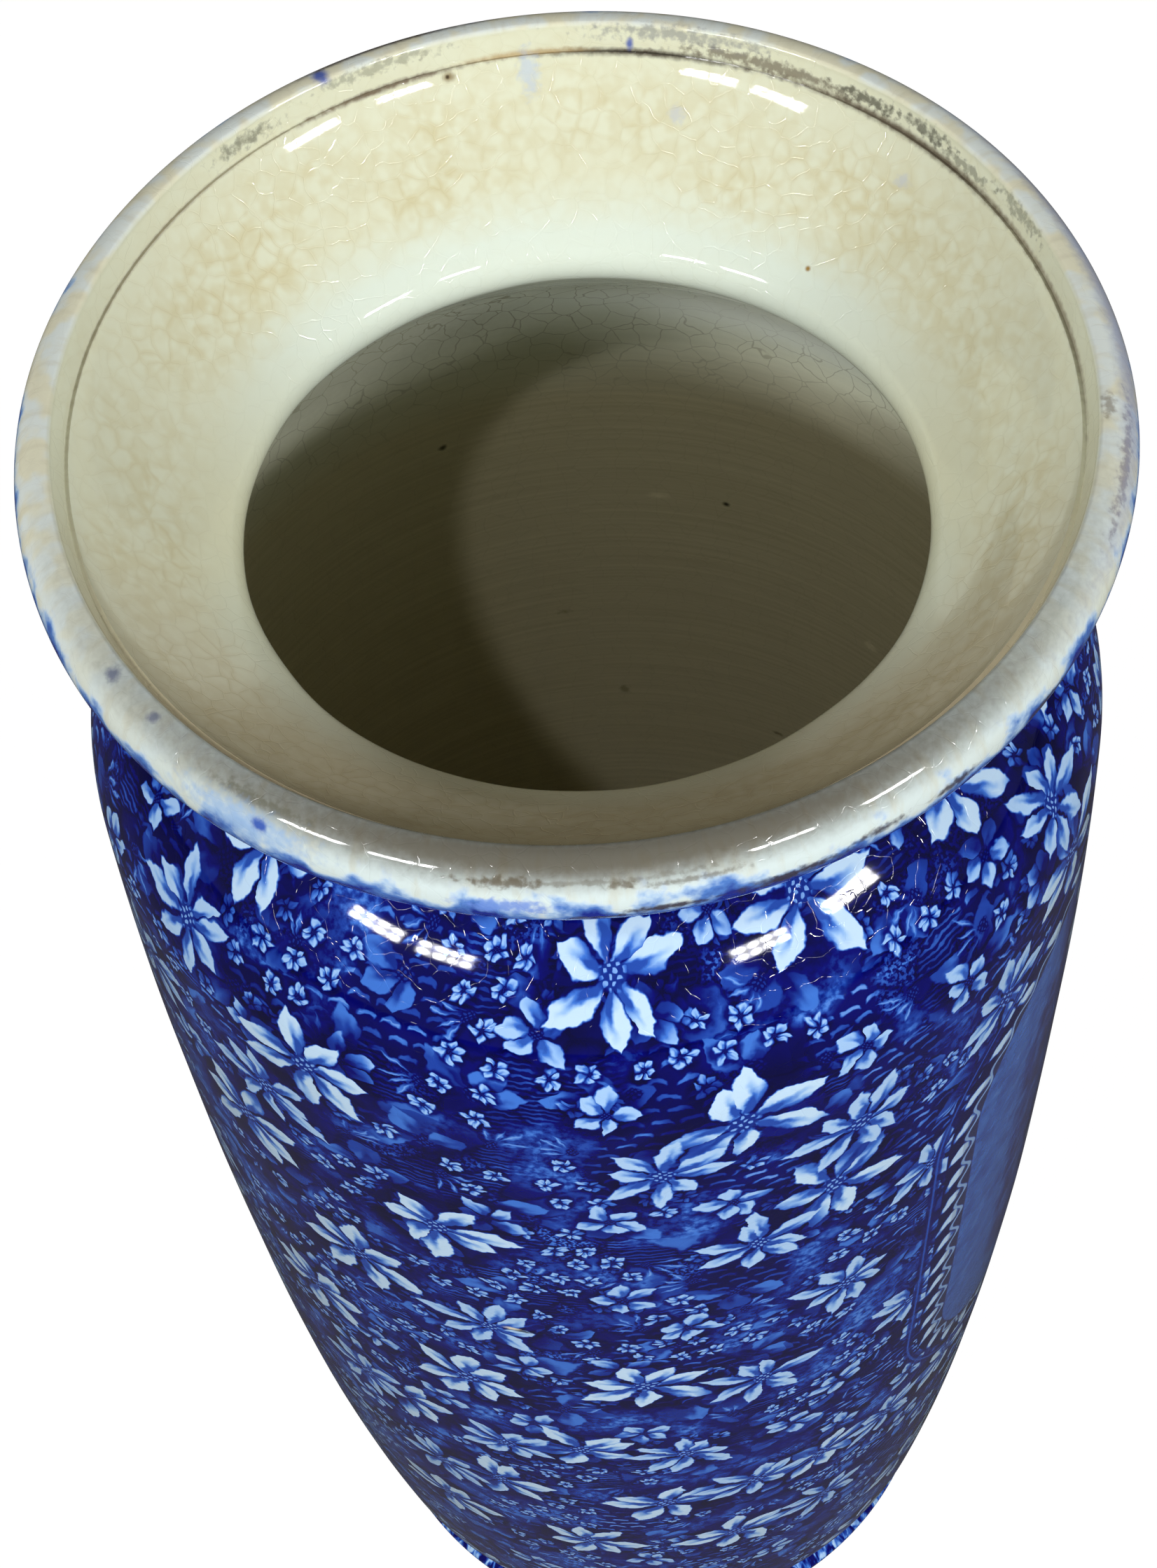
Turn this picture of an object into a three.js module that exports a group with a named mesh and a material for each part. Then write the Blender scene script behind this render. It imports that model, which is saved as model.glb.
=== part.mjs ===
// A wide-mouthed pottery vase, 12 inches tall: a thrown body with a high round
// shoulder, a flared mouth with a rolled lip, and a spreading foot ring. The three
// are formed apart and luted together with slip on flat joints before the firing.
// Millimetres, +Z up, origin on the standing face, on the vase's axis.

import * as THREE from 'three';

// Foot ring
const FOOT_HEIGHT = 15; // standing face to the joint under the body
const FOOT_RADIUS = 56.3; // widest, near the standing face
const FOOT_EDGE_ROUND = 2.2;
const FOOT_WAIST_RADIUS = 51.8; // at the joint
const FOOT_WALL = 5.2; // at the joint
const STANDING_FACE_WIDTH = 4.2;
const FOOT_INNER_ROUND = 1.4;

// Body
const HEEL_RISE = 7; // joint with the foot to where the side wall begins
const HEEL_RADIUS = 58.6;
const HEEL_ROUND = 4;
const BELLY_RADIUS = 66.8;
const BELLY_RISE = 188; // joint with the foot to the widest place
const SIDE_FULLNESS = 2.6; // power of the side curve: higher turns in later
const SHOULDER_RISE = 44.5; // widest place to where the shoulder begins
const SHOULDER_LEAN = 1.1; // how far the wall leans in by then
const SHOULDER_ROUND = 34;
const BODY_WALL = 5.2;
const FLOOR_THICKNESS = 6.5;
const FLOOR_CORNER_ROUND = 10;

// Neck and mouth
const THROAT_RADIUS = 40.2; // narrowest place of the way in
const THROAT_ROUND = 4.2;
const THROAT_RISE = 9.15; // joint with the body to the narrowest place
const NECK_RADIUS = 50; // outside, in the crease where the mouth sits on the body
const MOUTH_DEPTH = 22.4; // narrowest place to the crest of the lip
const LIP_RADIUS = 64;
const LIP_ROLL_WIDTH = 4.2; // crest to outermost
const LIP_ROLL_DROP = 5.4; // crest down to outermost
const LIP_FLAT = 0.2; // level strip on the crest
const LIP_INNER_ROUND = 0.6;
const GROOVE_WIDTH = 1; // inner edge of the lip to the bottom of the groove
const GROOVE_DROP = 3.5; // crest down to the bottom of the groove
const GROOVE_BACK_WIDTH = 0.5; // bottom of the groove to the dish's edge
const GROOVE_BACK_RISE = 0.25;

// Angles, in degrees from the outward horizontal, and the handles of the curves
const LIP_UNDERSIDE_ANGLE = -60;
const FLARE_START_HANDLE = 9;
const FLARE_END_HANDLE = 7;
const DISH_START_ANGLE = 135; // on the throat's round
const DISH_START_HANDLE = 6;
const DISH_END_HANDLE = 5;
const DISH_END_SLOPE = 62;
const FOOT_FLARE_ANGLE = 42; // on the foot's edge
const FOOT_FLARE_HANDLE = 5;

const TURN_STEPS = 64;

// Heights and radii at the joints
const bellyZ = FOOT_HEIGHT + BELLY_RISE;
const shoulderZ = bellyZ + SHOULDER_RISE;
const shoulderRadius = BELLY_RADIUS - SHOULDER_LEAN;

const shoulderTilt = Math.atan2(2 * SHOULDER_LEAN, SHOULDER_RISE);
const shoulderCentre = new THREE.Vector2(
  shoulderRadius - SHOULDER_ROUND * Math.cos(shoulderTilt),
  shoulderZ - SHOULDER_ROUND * Math.sin(shoulderTilt),
);
const neckAngle = Math.acos((NECK_RADIUS - shoulderCentre.x) / SHOULDER_ROUND);
const neckJointZ = shoulderCentre.y + SHOULDER_ROUND * Math.sin(neckAngle);
const throatZ = neckJointZ + THROAT_RISE;
const crestZ = throatZ + MOUTH_DEPTH;

// Inside, the throat is undercut: a straight slope touches the inner round of the
// shoulder at this angle, and the round of the throat on the side opposite to it.
const innerShoulderRound = SHOULDER_ROUND - BODY_WALL;
const throatCentre = new THREE.Vector2(THROAT_RADIUS + THROAT_ROUND, throatZ);
const betweenRounds = throatCentre.clone().sub(shoulderCentre);
const undercutAngle =
  betweenRounds.angle() -
  Math.acos((innerShoulderRound + THROAT_ROUND) / betweenRounds.length());
const neckBoreRadius =
  shoulderCentre.x +
  (innerShoulderRound - (neckJointZ - shoulderCentre.y) * Math.sin(undercutAngle)) /
    Math.cos(undercutAngle);

const radians = THREE.MathUtils.degToRad;
const point = (radius, height) => new THREE.Vector2(radius, height);

function onEllipse(centre, across, up, angle) {
  return point(centre.x + across * Math.cos(angle), centre.y + up * Math.sin(angle));
}

function ellipseArc(centre, across, up, fromAngle, toAngle, steps) {
  const points = [];
  for (let i = 0; i <= steps; i += 1) {
    points.push(onEllipse(centre, across, up, fromAngle + ((toAngle - fromAngle) * i) / steps));
  }
  return points;
}

function roundArc(centre, radius, fromAngle, toAngle, steps) {
  return ellipseArc(centre, radius, radius, fromAngle, toAngle, steps);
}

// A curve between two points that leaves and arrives along two directions.
function blend(from, fromDirection, fromHandle, to, toDirection, toHandle, steps) {
  const leave = from.clone().addScaledVector(fromDirection, fromHandle);
  const arrive = to.clone().addScaledVector(toDirection, -toHandle);
  return new THREE.CubicBezierCurve(from, leave, arrive, to).getPoints(steps);
}

const direction = (angle) => point(Math.cos(angle), Math.sin(angle));

// The outside of the side wall, from the heel up to the shoulder.
function sideRadius(height) {
  if (height >= bellyZ) {
    return BELLY_RADIUS - SHOULDER_LEAN * ((height - bellyZ) / SHOULDER_RISE) ** 2;
  }
  const below = (bellyZ - height) / (BELLY_RISE - HEEL_RISE);
  return BELLY_RADIUS - (BELLY_RADIUS - HEEL_RADIUS) * below ** SIDE_FULLNESS;
}

function sideTilt(height) {
  const step = 0.01;
  return Math.atan((sideRadius(height + step) - sideRadius(height - step)) / (2 * step));
}

function sideWall(fromZ, toZ, inset, steps) {
  const points = [];
  for (let i = 0; i <= steps; i += 1) {
    const height = fromZ + ((toZ - fromZ) * i) / steps;
    points.push(point(sideRadius(height) - inset, height));
  }
  return points;
}

// Drops a point that repeats the one before it.
function joinRuns(...runs) {
  const joined = [];
  for (const next of runs.flat()) {
    const last = joined[joined.length - 1];
    if (!last || last.distanceTo(next) > 1e-3) joined.push(next);
  }
  return joined;
}

function revolve(profile, closed) {
  const outline = closed ? [...profile, profile[0].clone()] : profile;
  const turned = new THREE.LatheGeometry(outline, TURN_STEPS);
  turned.rotateX(Math.PI / 2);
  return turned;
}

// The foot spreads in a hollow curve to a rounded edge, and the middle is open, so
// that the vase stands on a narrow ring.
function footRing() {
  const edgeCentre = point(FOOT_RADIUS - FOOT_EDGE_ROUND, FOOT_EDGE_ROUND);
  const flareAngle = radians(FOOT_FLARE_ANGLE);
  const flareStart = onEllipse(edgeCentre, FOOT_EDGE_ROUND, FOOT_EDGE_ROUND, flareAngle);
  const waist = point(FOOT_WAIST_RADIUS, FOOT_HEIGHT);
  const innerRadius = edgeCentre.x - STANDING_FACE_WIDTH - FOOT_INNER_ROUND;
  const innerCentre = point(edgeCentre.x - STANDING_FACE_WIDTH, FOOT_INNER_ROUND);
  return joinRuns(
    roundArc(edgeCentre, FOOT_EDGE_ROUND, -Math.PI / 2, flareAngle, 7),
    blend(
      flareStart,
      direction(flareAngle + Math.PI / 2),
      FOOT_FLARE_HANDLE,
      waist,
      direction(Math.PI / 2),
      FOOT_FLARE_HANDLE,
      6,
    ),
    [point(FOOT_WAIST_RADIUS - FOOT_WALL, FOOT_HEIGHT)],
    [point(innerRadius, FOOT_INNER_ROUND)],
    roundArc(innerCentre, FOOT_INNER_ROUND, Math.PI, 1.5 * Math.PI, 3),
  );
}

// A closed floor, a full side that turns under at the heel, and an open neck.
function body() {
  const heelZ = FOOT_HEIGHT + HEEL_RISE;
  const heelTilt = sideTilt(heelZ);
  const heelCentre = point(
    sideRadius(heelZ) - HEEL_ROUND * Math.cos(heelTilt),
    heelZ + HEEL_ROUND * Math.sin(heelTilt),
  );
  const heelBottom = point(heelCentre.x, heelCentre.y - HEEL_ROUND);
  const hollowCentre = point(heelBottom.x, FOOT_HEIGHT);
  const hollowAcross = heelBottom.x - FOOT_WAIST_RADIUS;
  const hollowUp = heelBottom.y - FOOT_HEIGHT;

  const floorZ = FOOT_HEIGHT + FLOOR_THICKNESS;
  const cornerTilt = sideTilt(floorZ + FLOOR_CORNER_ROUND);
  const cornerTopZ = floorZ + FLOOR_CORNER_ROUND * (1 - Math.sin(cornerTilt));
  const cornerCentre = point(
    sideRadius(cornerTopZ) - BODY_WALL - FLOOR_CORNER_ROUND * Math.cos(cornerTilt),
    floorZ + FLOOR_CORNER_ROUND,
  );

  const innerShoulderZ = shoulderCentre.y + innerShoulderRound * Math.sin(shoulderTilt);

  return joinRuns(
    [point(0, FOOT_HEIGHT)],
    ellipseArc(hollowCentre, hollowAcross, hollowUp, Math.PI, Math.PI / 2, 3),
    roundArc(heelCentre, HEEL_ROUND, -Math.PI / 2, -heelTilt, 5),
    sideWall(heelZ, bellyZ, 0, 11),
    sideWall(bellyZ, shoulderZ, 0, 4),
    roundArc(shoulderCentre, SHOULDER_ROUND, shoulderTilt, neckAngle, 8),
    [point(neckBoreRadius, neckJointZ)],
    roundArc(shoulderCentre, innerShoulderRound, undercutAngle, shoulderTilt, 5),
    sideWall(innerShoulderZ, bellyZ, BODY_WALL, 3).slice(1),
    sideWall(bellyZ, cornerTopZ, BODY_WALL, 8),
    roundArc(cornerCentre, FLOOR_CORNER_ROUND, -cornerTilt, -Math.PI / 2, 4),
    [point(0, floorZ)],
  );
}

// The mouth flares out from the neck to a rolled lip. Inside, a groove runs round
// under the lip, and a dish falls in a double curve to the throat.
function mouth() {
  const rollCentre = point(LIP_RADIUS - LIP_ROLL_WIDTH, crestZ - LIP_ROLL_DROP);
  const underAngle = radians(LIP_UNDERSIDE_ANGLE);
  const underLip = onEllipse(rollCentre, LIP_ROLL_WIDTH, LIP_ROLL_DROP, underAngle);
  const underDirection = point(
    -LIP_ROLL_WIDTH * Math.sin(underAngle),
    LIP_ROLL_DROP * Math.cos(underAngle),
  ).normalize();

  const innerRoundCentre = point(rollCentre.x - LIP_FLAT, crestZ - LIP_INNER_ROUND);
  const lipEdgeRadius = innerRoundCentre.x - LIP_INNER_ROUND;
  const groove = point(lipEdgeRadius - GROOVE_WIDTH, crestZ - GROOVE_DROP);
  const dishEdge = point(groove.x - GROOVE_BACK_WIDTH, groove.y + GROOVE_BACK_RISE);

  const dishAngle = radians(DISH_START_ANGLE);
  const dishStart = onEllipse(throatCentre, THROAT_ROUND, THROAT_ROUND, dishAngle);

  return joinRuns(
    blend(
      point(NECK_RADIUS, neckJointZ),
      direction(Math.PI / 2),
      FLARE_START_HANDLE,
      underLip,
      underDirection,
      FLARE_END_HANDLE,
      7,
    ),
    ellipseArc(rollCentre, LIP_ROLL_WIDTH, LIP_ROLL_DROP, underAngle, Math.PI / 2, 9),
    roundArc(innerRoundCentre, LIP_INNER_ROUND, Math.PI / 2, Math.PI, 2),
    [groove],
    blend(
      dishEdge,
      direction(radians(DISH_END_SLOPE) + Math.PI),
      DISH_END_HANDLE,
      dishStart,
      direction(dishAngle + Math.PI / 2),
      DISH_START_HANDLE,
      8,
    ),
    roundArc(throatCentre, THROAT_ROUND, dishAngle, undercutAngle + Math.PI, 6),
    [point(neckBoreRadius, neckJointZ)],
  );
}

function glazed(colour) {
  return new THREE.MeshStandardMaterial({ color: colour, roughness: 0.15, metalness: 0 });
}

function piece(name, profile, closed, colour) {
  const mesh = new THREE.Mesh(revolve(profile, closed), glazed(colour));
  mesh.name = name;
  return mesh;
}

const vase = new THREE.Group();
vase.add(piece('foot_ring', footRing(), true, 0x3f6fc0));
vase.add(piece('body', body(), false, 0x16288c));
vase.add(piece('mouth', mouth(), true, 0xe4e2cb));

export default vase;
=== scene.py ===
import math
import bpy
from mathutils import Matrix, Vector


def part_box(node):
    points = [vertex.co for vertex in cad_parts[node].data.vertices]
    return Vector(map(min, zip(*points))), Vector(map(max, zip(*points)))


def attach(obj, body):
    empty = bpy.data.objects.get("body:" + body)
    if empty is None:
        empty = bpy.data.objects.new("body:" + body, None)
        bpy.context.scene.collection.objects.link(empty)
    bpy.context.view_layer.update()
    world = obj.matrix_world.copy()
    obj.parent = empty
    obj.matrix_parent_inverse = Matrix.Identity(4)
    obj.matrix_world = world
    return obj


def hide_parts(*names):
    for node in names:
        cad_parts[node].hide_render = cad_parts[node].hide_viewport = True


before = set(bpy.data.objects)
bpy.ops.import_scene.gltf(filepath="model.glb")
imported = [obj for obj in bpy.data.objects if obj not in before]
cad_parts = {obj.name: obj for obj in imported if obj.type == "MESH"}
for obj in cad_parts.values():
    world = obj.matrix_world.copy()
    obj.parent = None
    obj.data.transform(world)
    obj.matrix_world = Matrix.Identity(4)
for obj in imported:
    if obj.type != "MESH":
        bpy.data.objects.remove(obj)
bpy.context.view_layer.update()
MM = 0.001

# The camera. It looks down into the mouth from about 0.3 m, as the photograph does,
# so the lip is large, and the foot is far below it and small.
CAMERA_DISTANCE = 0.31223  # from the middle of the lip's crest
CAMERA_ELEVATION = math.radians(49.994)
CAMERA_PITCH = math.radians(-8.115)
CAMERA_YAW = math.radians(0.503)
CAMERA_ROLL = math.radians(4.843)
SENSOR_HEIGHT = 24.0
FOCAL_LENGTH = 41.976
CLIP_START = 0.01

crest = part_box("mouth")[1].z
camera_data = bpy.data.cameras.new("camera")
camera_data.sensor_fit = "VERTICAL"
camera_data.sensor_height = SENSOR_HEIGHT
camera_data.lens = FOCAL_LENGTH
camera_data.clip_start = CLIP_START
camera = bpy.data.objects.new("camera", camera_data)
bpy.context.scene.collection.objects.link(camera)
tip_down = Matrix.Rotation(math.radians(90) - CAMERA_ELEVATION, 4, "X")
camera_place = tip_down @ Vector((0, 0, CAMERA_DISTANCE)) + Vector((0, 0, crest))
camera.matrix_world = (
    Matrix.Translation(camera_place)
    @ tip_down
    @ Matrix.Rotation(CAMERA_PITCH, 4, "X")
    @ Matrix.Rotation(CAMERA_YAW, 4, "Y")
    @ Matrix.Rotation(-CAMERA_ROLL, 4, "Z")
)
bpy.context.scene.camera = camera

# Foot ring
# A spreading ring of earthenware, turned on the wheel and luted under the body with
# slip. Its outside is printed in blue with upright leaves, its inside is glazed cream,
# and its standing face is wiped bare of glaze.
FOOT_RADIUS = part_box("foot_ring")[1].x / MM
FOOT_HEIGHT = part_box("foot_ring")[1].z / MM
FOOT_EDGE_ROUND = 2.2
FOOT_WAIST_RADIUS = 51.8
FOOT_WALL = 5.2
STANDING_FACE_WIDTH = 4.2
FOOT_INNER_ROUND = 1.4
FOOT_FLARE_ANGLE = 42
FOOT_FLARE_HANDLE = 5
TURN_STEPS = 360
SHARP_ANGLE = 50

# How far the wheel and the hand left the clay from true, in millimetres
SIDE_UNEVEN = 0.5
SIDE_UNEVEN_LENGTH = 60
THROAT_UNEVEN = 1.1
THROAT_UNEVEN_LENGTH = 26
THROAT_OVAL = 0.95
THROAT_OVAL_AZIMUTH = 85
THROAT_SHIFT = (0.7, -0.5)
# Where the throat's own unevenness sets in and where it is full, from the axis and up
UNEVEN_FROM_RADIUS = 54
UNEVEN_RADIUS = 45
UNEVEN_FROM_HEIGHT = 258
UNEVEN_HEIGHT = 272
STILL_RADIUS = 20  # the clay moves less and less from here to the axis
SAME_PLACE = 0.001


def arc(centre, across, up, start, end, steps):
    """Points in millimetres along an arc of an ellipse, between two angles in degrees."""
    angles = [math.radians(start + (end - start) * i / steps) for i in range(steps + 1)]
    return [(centre[0] + across * math.cos(a), centre[1] + up * math.sin(a)) for a in angles]


def heading(angle):
    return Vector((math.cos(math.radians(angle)), math.sin(math.radians(angle))))


def flowing(start, start_heading, start_handle, end, end_heading, end_handle, steps):
    """Points along a curve that leaves and arrives along two headings."""
    first, last = Vector(start), Vector(end)
    leave = first + start_heading * start_handle
    arrive = last - end_heading * end_handle
    points = []
    for i in range(steps + 1):
        t = i / steps
        s = 1 - t
        points.append(tuple(s**3 * first + 3 * s * s * t * leave + 3 * s * t * t * arrive + t**3 * last))
    return points


def straight(start, end, step=1.5):
    """Points along a straight stretch, close enough together to bend with the clay."""
    first, last = Vector(start), Vector(end)
    count = max(1, round((last - first).length / step))
    return [tuple(first.lerp(last, i / count)) for i in range(count + 1)]


def run_length(points):
    return sum(math.dist(before, after) for before, after in zip(points, points[1:]))


def colour(hex_value):
    """An sRGB hex colour as the linear light that a shader takes."""
    shares = [int(hex_value[i : i + 2], 16) / 255 for i in (1, 3, 5)]
    return (*[c / 12.92 if c <= 0.04045 else ((c + 0.055) / 1.055) ** 2.4 for c in shares], 1.0)


def adder(tree):
    """What adds a node to a tree. links gives the node's inputs, by name or in order, a value, a
    node, or a node and its output. mode is its operation, or how a Map Range goes from end to
    end. stops gives a Color Ramp its places and colours."""

    def add(kind, links=(), mode=None, stops=(), **settings):
        kind = kind if "Node" in kind else "ShaderNode" + kind
        node = tree.nodes.new(kind)
        if mode:
            settings["interpolation_type" if kind.endswith("MapRange") else "operation"] = mode
        for name, value in settings.items():
            setattr(node, name, value)
        inputs = links.items() if isinstance(links, dict) else enumerate(links)
        for socket, value in inputs:
            if isinstance(value, bpy.types.Node):
                tree.links.new(value.outputs[0], node.inputs[socket])
            elif isinstance(value, tuple) and isinstance(value[0], bpy.types.Node):
                tree.links.new(value[0].outputs[value[1]], node.inputs[socket])
            else:
                node.inputs[socket].default_value = value
        for i, (place, hex_value) in enumerate(stops):
            points = node.color_ramp.elements
            point = points[i] if i < 2 else points.new(place)
            point.position = place
            point.color = colour(hex_value)
        return node

    return add


def new_tree(name, kind, inputs, outputs):
    """A node tree with named inputs and outputs, what adds to it, and its input node."""
    tree = bpy.data.node_groups.new(name, kind)
    for in_out, sockets in (("INPUT", inputs), ("OUTPUT", outputs)):
        for socket, socket_kind in sockets.items():
            tree.interface.new_socket(socket, in_out=in_out, socket_type="NodeSocket" + socket_kind)
    return tree, adder(tree), tree.nodes.new("NodeGroupInput")


def turning_tree():
    """Turns a profile round the axis, as a wheel does, and lets the clay run a little out of true."""
    tree, add, given = new_tree(
        "turned on the wheel",
        "GeometryNodeTree",
        {
            "Profile": "Geometry",
            "Turn steps": "Int",
            "Side uneven": "Float",
            "Throat uneven": "Float",
            "Throat oval": "Float",
            "Throat shift": "Vector",
            "Outside": "Material",
            "Inside": "Material",
        },
        {"Piece": "Geometry"},
    )
    position = add("GeometryNodeInputPosition")
    count = add("GeometryNodeAttributeDomainSize", [(given, "Profile")])
    columns = add("Math", [(given, "Turn steps"), 1.0])
    grid = add("GeometryNodeMeshGrid", {"Vertices X": columns, "Vertices Y": (count, "Point Count")})
    place = add("SeparateXYZ", [position])
    round_share = add("Math", [(place, "X"), 0.5])
    along_share = add("Math", [(place, "Y"), 0.5])
    last = add("Math", [(count, "Point Count"), 1.0], "SUBTRACT")
    row = add("Math", [along_share, last], "MULTIPLY")
    row = add("Math", [row], "ROUND")
    point = add("GeometryNodeSampleIndex", [(given, "Profile"), position, row], data_type="FLOAT_VECTOR")
    along = add("GeometryNodeInputNamedAttribute", ["along"])
    length = add("GeometryNodeSampleIndex", [(given, "Profile"), along, row])
    inside = add("GeometryNodeInputNamedAttribute", ["inside"])
    hidden = add("GeometryNodeSampleIndex", [(given, "Profile"), inside, row])
    print_map = add("CombineXYZ", [round_share, length])
    mapped = add(
        "GeometryNodeStoreNamedAttribute",
        {"Geometry": grid, "Name": "print", "Value": print_map},
        data_type="FLOAT2",
        domain="CORNER",
    )
    marked = add(
        "GeometryNodeStoreNamedAttribute",
        {"Geometry": mapped, "Name": "inside", "Value": hidden},
        domain="FACE",
    )
    # The turn starts at the back, and goes round from there by the front.
    azimuth = add("Math", [(place, "X"), math.tau], "MULTIPLY")
    sine = add("Math", [azimuth], "SINE")
    cosine = add("Math", [azimuth], "COSINE")
    minus_cosine = add("Math", [cosine, -1.0], "MULTIPLY")
    outward = add("CombineXYZ", [sine, minus_cosine])
    profile = add("SeparateXYZ", [point])
    level = add("CombineXYZ", {"Z": (profile, "Z")})
    true_place = add("VectorMath", [outward, (profile, "X"), level], "MULTIPLY_ADD")
    near_throat = add("MapRange", [(profile, "X"), UNEVEN_FROM_RADIUS * MM, UNEVEN_RADIUS * MM], "SMOOTHSTEP")
    at_neck = add("MapRange", [(profile, "Z"), UNEVEN_FROM_HEIGHT * MM, UNEVEN_HEIGHT * MM], "SMOOTHSTEP")
    throat = add("Math", [near_throat, at_neck], "MULTIPLY")
    swing = add("Math", [azimuth, 2.0, -2 * math.radians(THROAT_OVAL_AZIMUTH)], "MULTIPLY_ADD")
    swing = add("Math", [swing], "COSINE")
    oval = add("Math", [swing, (given, "Throat oval")], "MULTIPLY")
    throat_lump = add(
        "TexNoise", {"Vector": true_place, "Scale": 1 / (THROAT_UNEVEN_LENGTH * MM), "Detail": 1.0}
    )
    throat_lump = add("Math", [throat_lump, 0.5], "SUBTRACT")
    throat_out = add("Math", [throat_lump, (given, "Throat uneven"), oval], "MULTIPLY_ADD")
    throat_out = add("Math", [throat_out, throat], "MULTIPLY")
    lump = add("TexNoise", {"Vector": true_place, "Scale": 1 / (SIDE_UNEVEN_LENGTH * MM), "Detail": 1.0})
    lump = add("Math", [lump, 0.5], "SUBTRACT")
    out = add("Math", [lump, (given, "Side uneven"), throat_out], "MULTIPLY_ADD")
    # Nothing moves on the axis, so that the floor stays whole.
    off_axis = add("MapRange", [(profile, "X"), 0.0, STILL_RADIUS * MM])
    out = add("Math", [out, off_axis], "MULTIPLY")
    moved = add("VectorMath", {0: outward, "Scale": out}, "SCALE")
    shift = add("VectorMath", {0: (given, "Throat shift"), "Scale": throat}, "SCALE")
    moved = add("VectorMath", [moved, shift])
    placed = add("GeometryNodeSetPosition", {"Geometry": marked, "Position": true_place, "Offset": moved})
    closed = add("GeometryNodeMergeByDistance", {"Geometry": placed, "Distance": SAME_PLACE * MM})
    smooth = add("GeometryNodeSetShadeSmooth", {"Geometry": closed})
    real = add("GeometryNodeRealizeInstances", {"Geometry": smooth})
    outside = add("GeometryNodeSetMaterial", {"Geometry": real, "Material": (given, "Outside")})
    is_inside = add("GeometryNodeInputNamedAttribute", ["inside"])
    both = add(
        "GeometryNodeSetMaterial",
        {"Geometry": outside, "Selection": is_inside, "Material": (given, "Inside")},
    )
    add("NodeGroupOutput", [both])
    return tree


wheel = turning_tree()


def turn_piece(name, outside_run, inside_run, outside, inside):
    """One turned piece from its profile in millimetres, which goes up outside and down inside."""
    points = []
    flags = []
    for run, flag in ((outside_run, 0.0), (inside_run, 1.0)):
        for point in run:
            if not points or math.dist(point, points[-1]) > SAME_PLACE:
                points.append(point)
                flags.append(flag)
    mesh = bpy.data.meshes.new(name + "_profile")
    edges = [(i, i + 1) for i in range(len(points) - 1)]
    mesh.from_pydata([(r * MM, 0, z * MM) for r, z in points], edges, [])
    shares = [run_length(points[: i + 1]) / run_length(points) for i in range(len(points))]
    mesh.attributes.new("along", "FLOAT", "POINT").data.foreach_set("value", shares)
    mesh.attributes.new("inside", "FLOAT", "POINT").data.foreach_set("value", flags)
    profile = bpy.data.objects.new(name + "_profile", mesh)
    bpy.context.scene.collection.objects.link(profile)
    modifier = profile.modifiers.new("wheel", "NODES")
    modifier.node_group = wheel
    values = {
        "Turn steps": TURN_STEPS,
        "Side uneven": SIDE_UNEVEN * MM,
        "Throat uneven": THROAT_UNEVEN * MM,
        "Throat oval": THROAT_OVAL * MM,
        "Throat shift": (THROAT_SHIFT[0] * MM, THROAT_SHIFT[1] * MM, 0.0),
        "Outside": outside,
        "Inside": inside,
    }
    for item in wheel.interface.items_tree:
        if item.in_out == "INPUT" and item.name in values:
            modifier[item.identifier] = values[item.name]
    evaluated = profile.evaluated_get(bpy.context.evaluated_depsgraph_get())
    turned = bpy.data.meshes.new_from_object(evaluated)
    turned.name = name
    bpy.data.objects.remove(profile)
    turned.set_sharp_from_angle(angle=math.radians(SHARP_ANGLE))
    piece = bpy.data.objects.new(name, turned)
    bpy.context.scene.collection.objects.link(piece)
    return piece


def new_material(name):
    """A material with an empty tree, and what adds nodes to that tree."""
    material = bpy.data.materials.new(name)
    material.use_nodes = True
    material.node_tree.nodes.clear()
    return material, adder(material.node_tree)


def clay_place(add):
    """Where a point of the clay is, in millimetres."""
    place = add("TexCoord")
    return add("VectorMath", {0: (place, "Object"), "Scale": 1 / MM}, "SCALE")


def sheet_place(add, around, along):
    """Where a point is on the sheet that wraps a piece, which is so much round and so much along."""
    sheet = add("UVMap", uv_map="print")
    return add("VectorMath", [sheet, (around, along, 0)], "MULTIPLY")


# Cobalt printed under lead glaze. The fired blue is deep and even where the print is
# dense, and paler where the white body shows through it.
COBALT = (
    (0.0, "#04042e"),
    (0.15, "#05076a"),
    (0.35, "#1c3f9e"),
    (0.55, "#3f74cf"),
    (0.75, "#8fb8ea"),
    (1.0, "#d6ecf6"),
)
# Lead glaze over the earthenware, smooth and glassy from the firing. Lengths are in
# millimetres. Noise lies mostly between 0.3 and 0.7, and a name that ends in NOISE gives
# where in it something begins and where it is complete.
NOISE = (0.3, 0.7)
GLAZE_ROUGHNESS = 0.045
GLAZE_IOR = 1.5
CRAZE_LINE = 0.09
CRACK_DEPTH = 0.012
CRAZE_BEND = 2.2
CRAZE_BEND_LENGTH = 4
STAIN_CREEP = 0.55  # how far a stain has crept in beside a crack
STAIN_PATCH_LENGTH = 11
STAIN_PATCH_NOISE = (0.4, 0.65)
STAIN_PATCH = (0.2, 0.75)  # how strong the stain is where it is weakest and strongest
GLAZE_WAVE_LENGTH = 9
GLAZE_WAVE = 0.05


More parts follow.
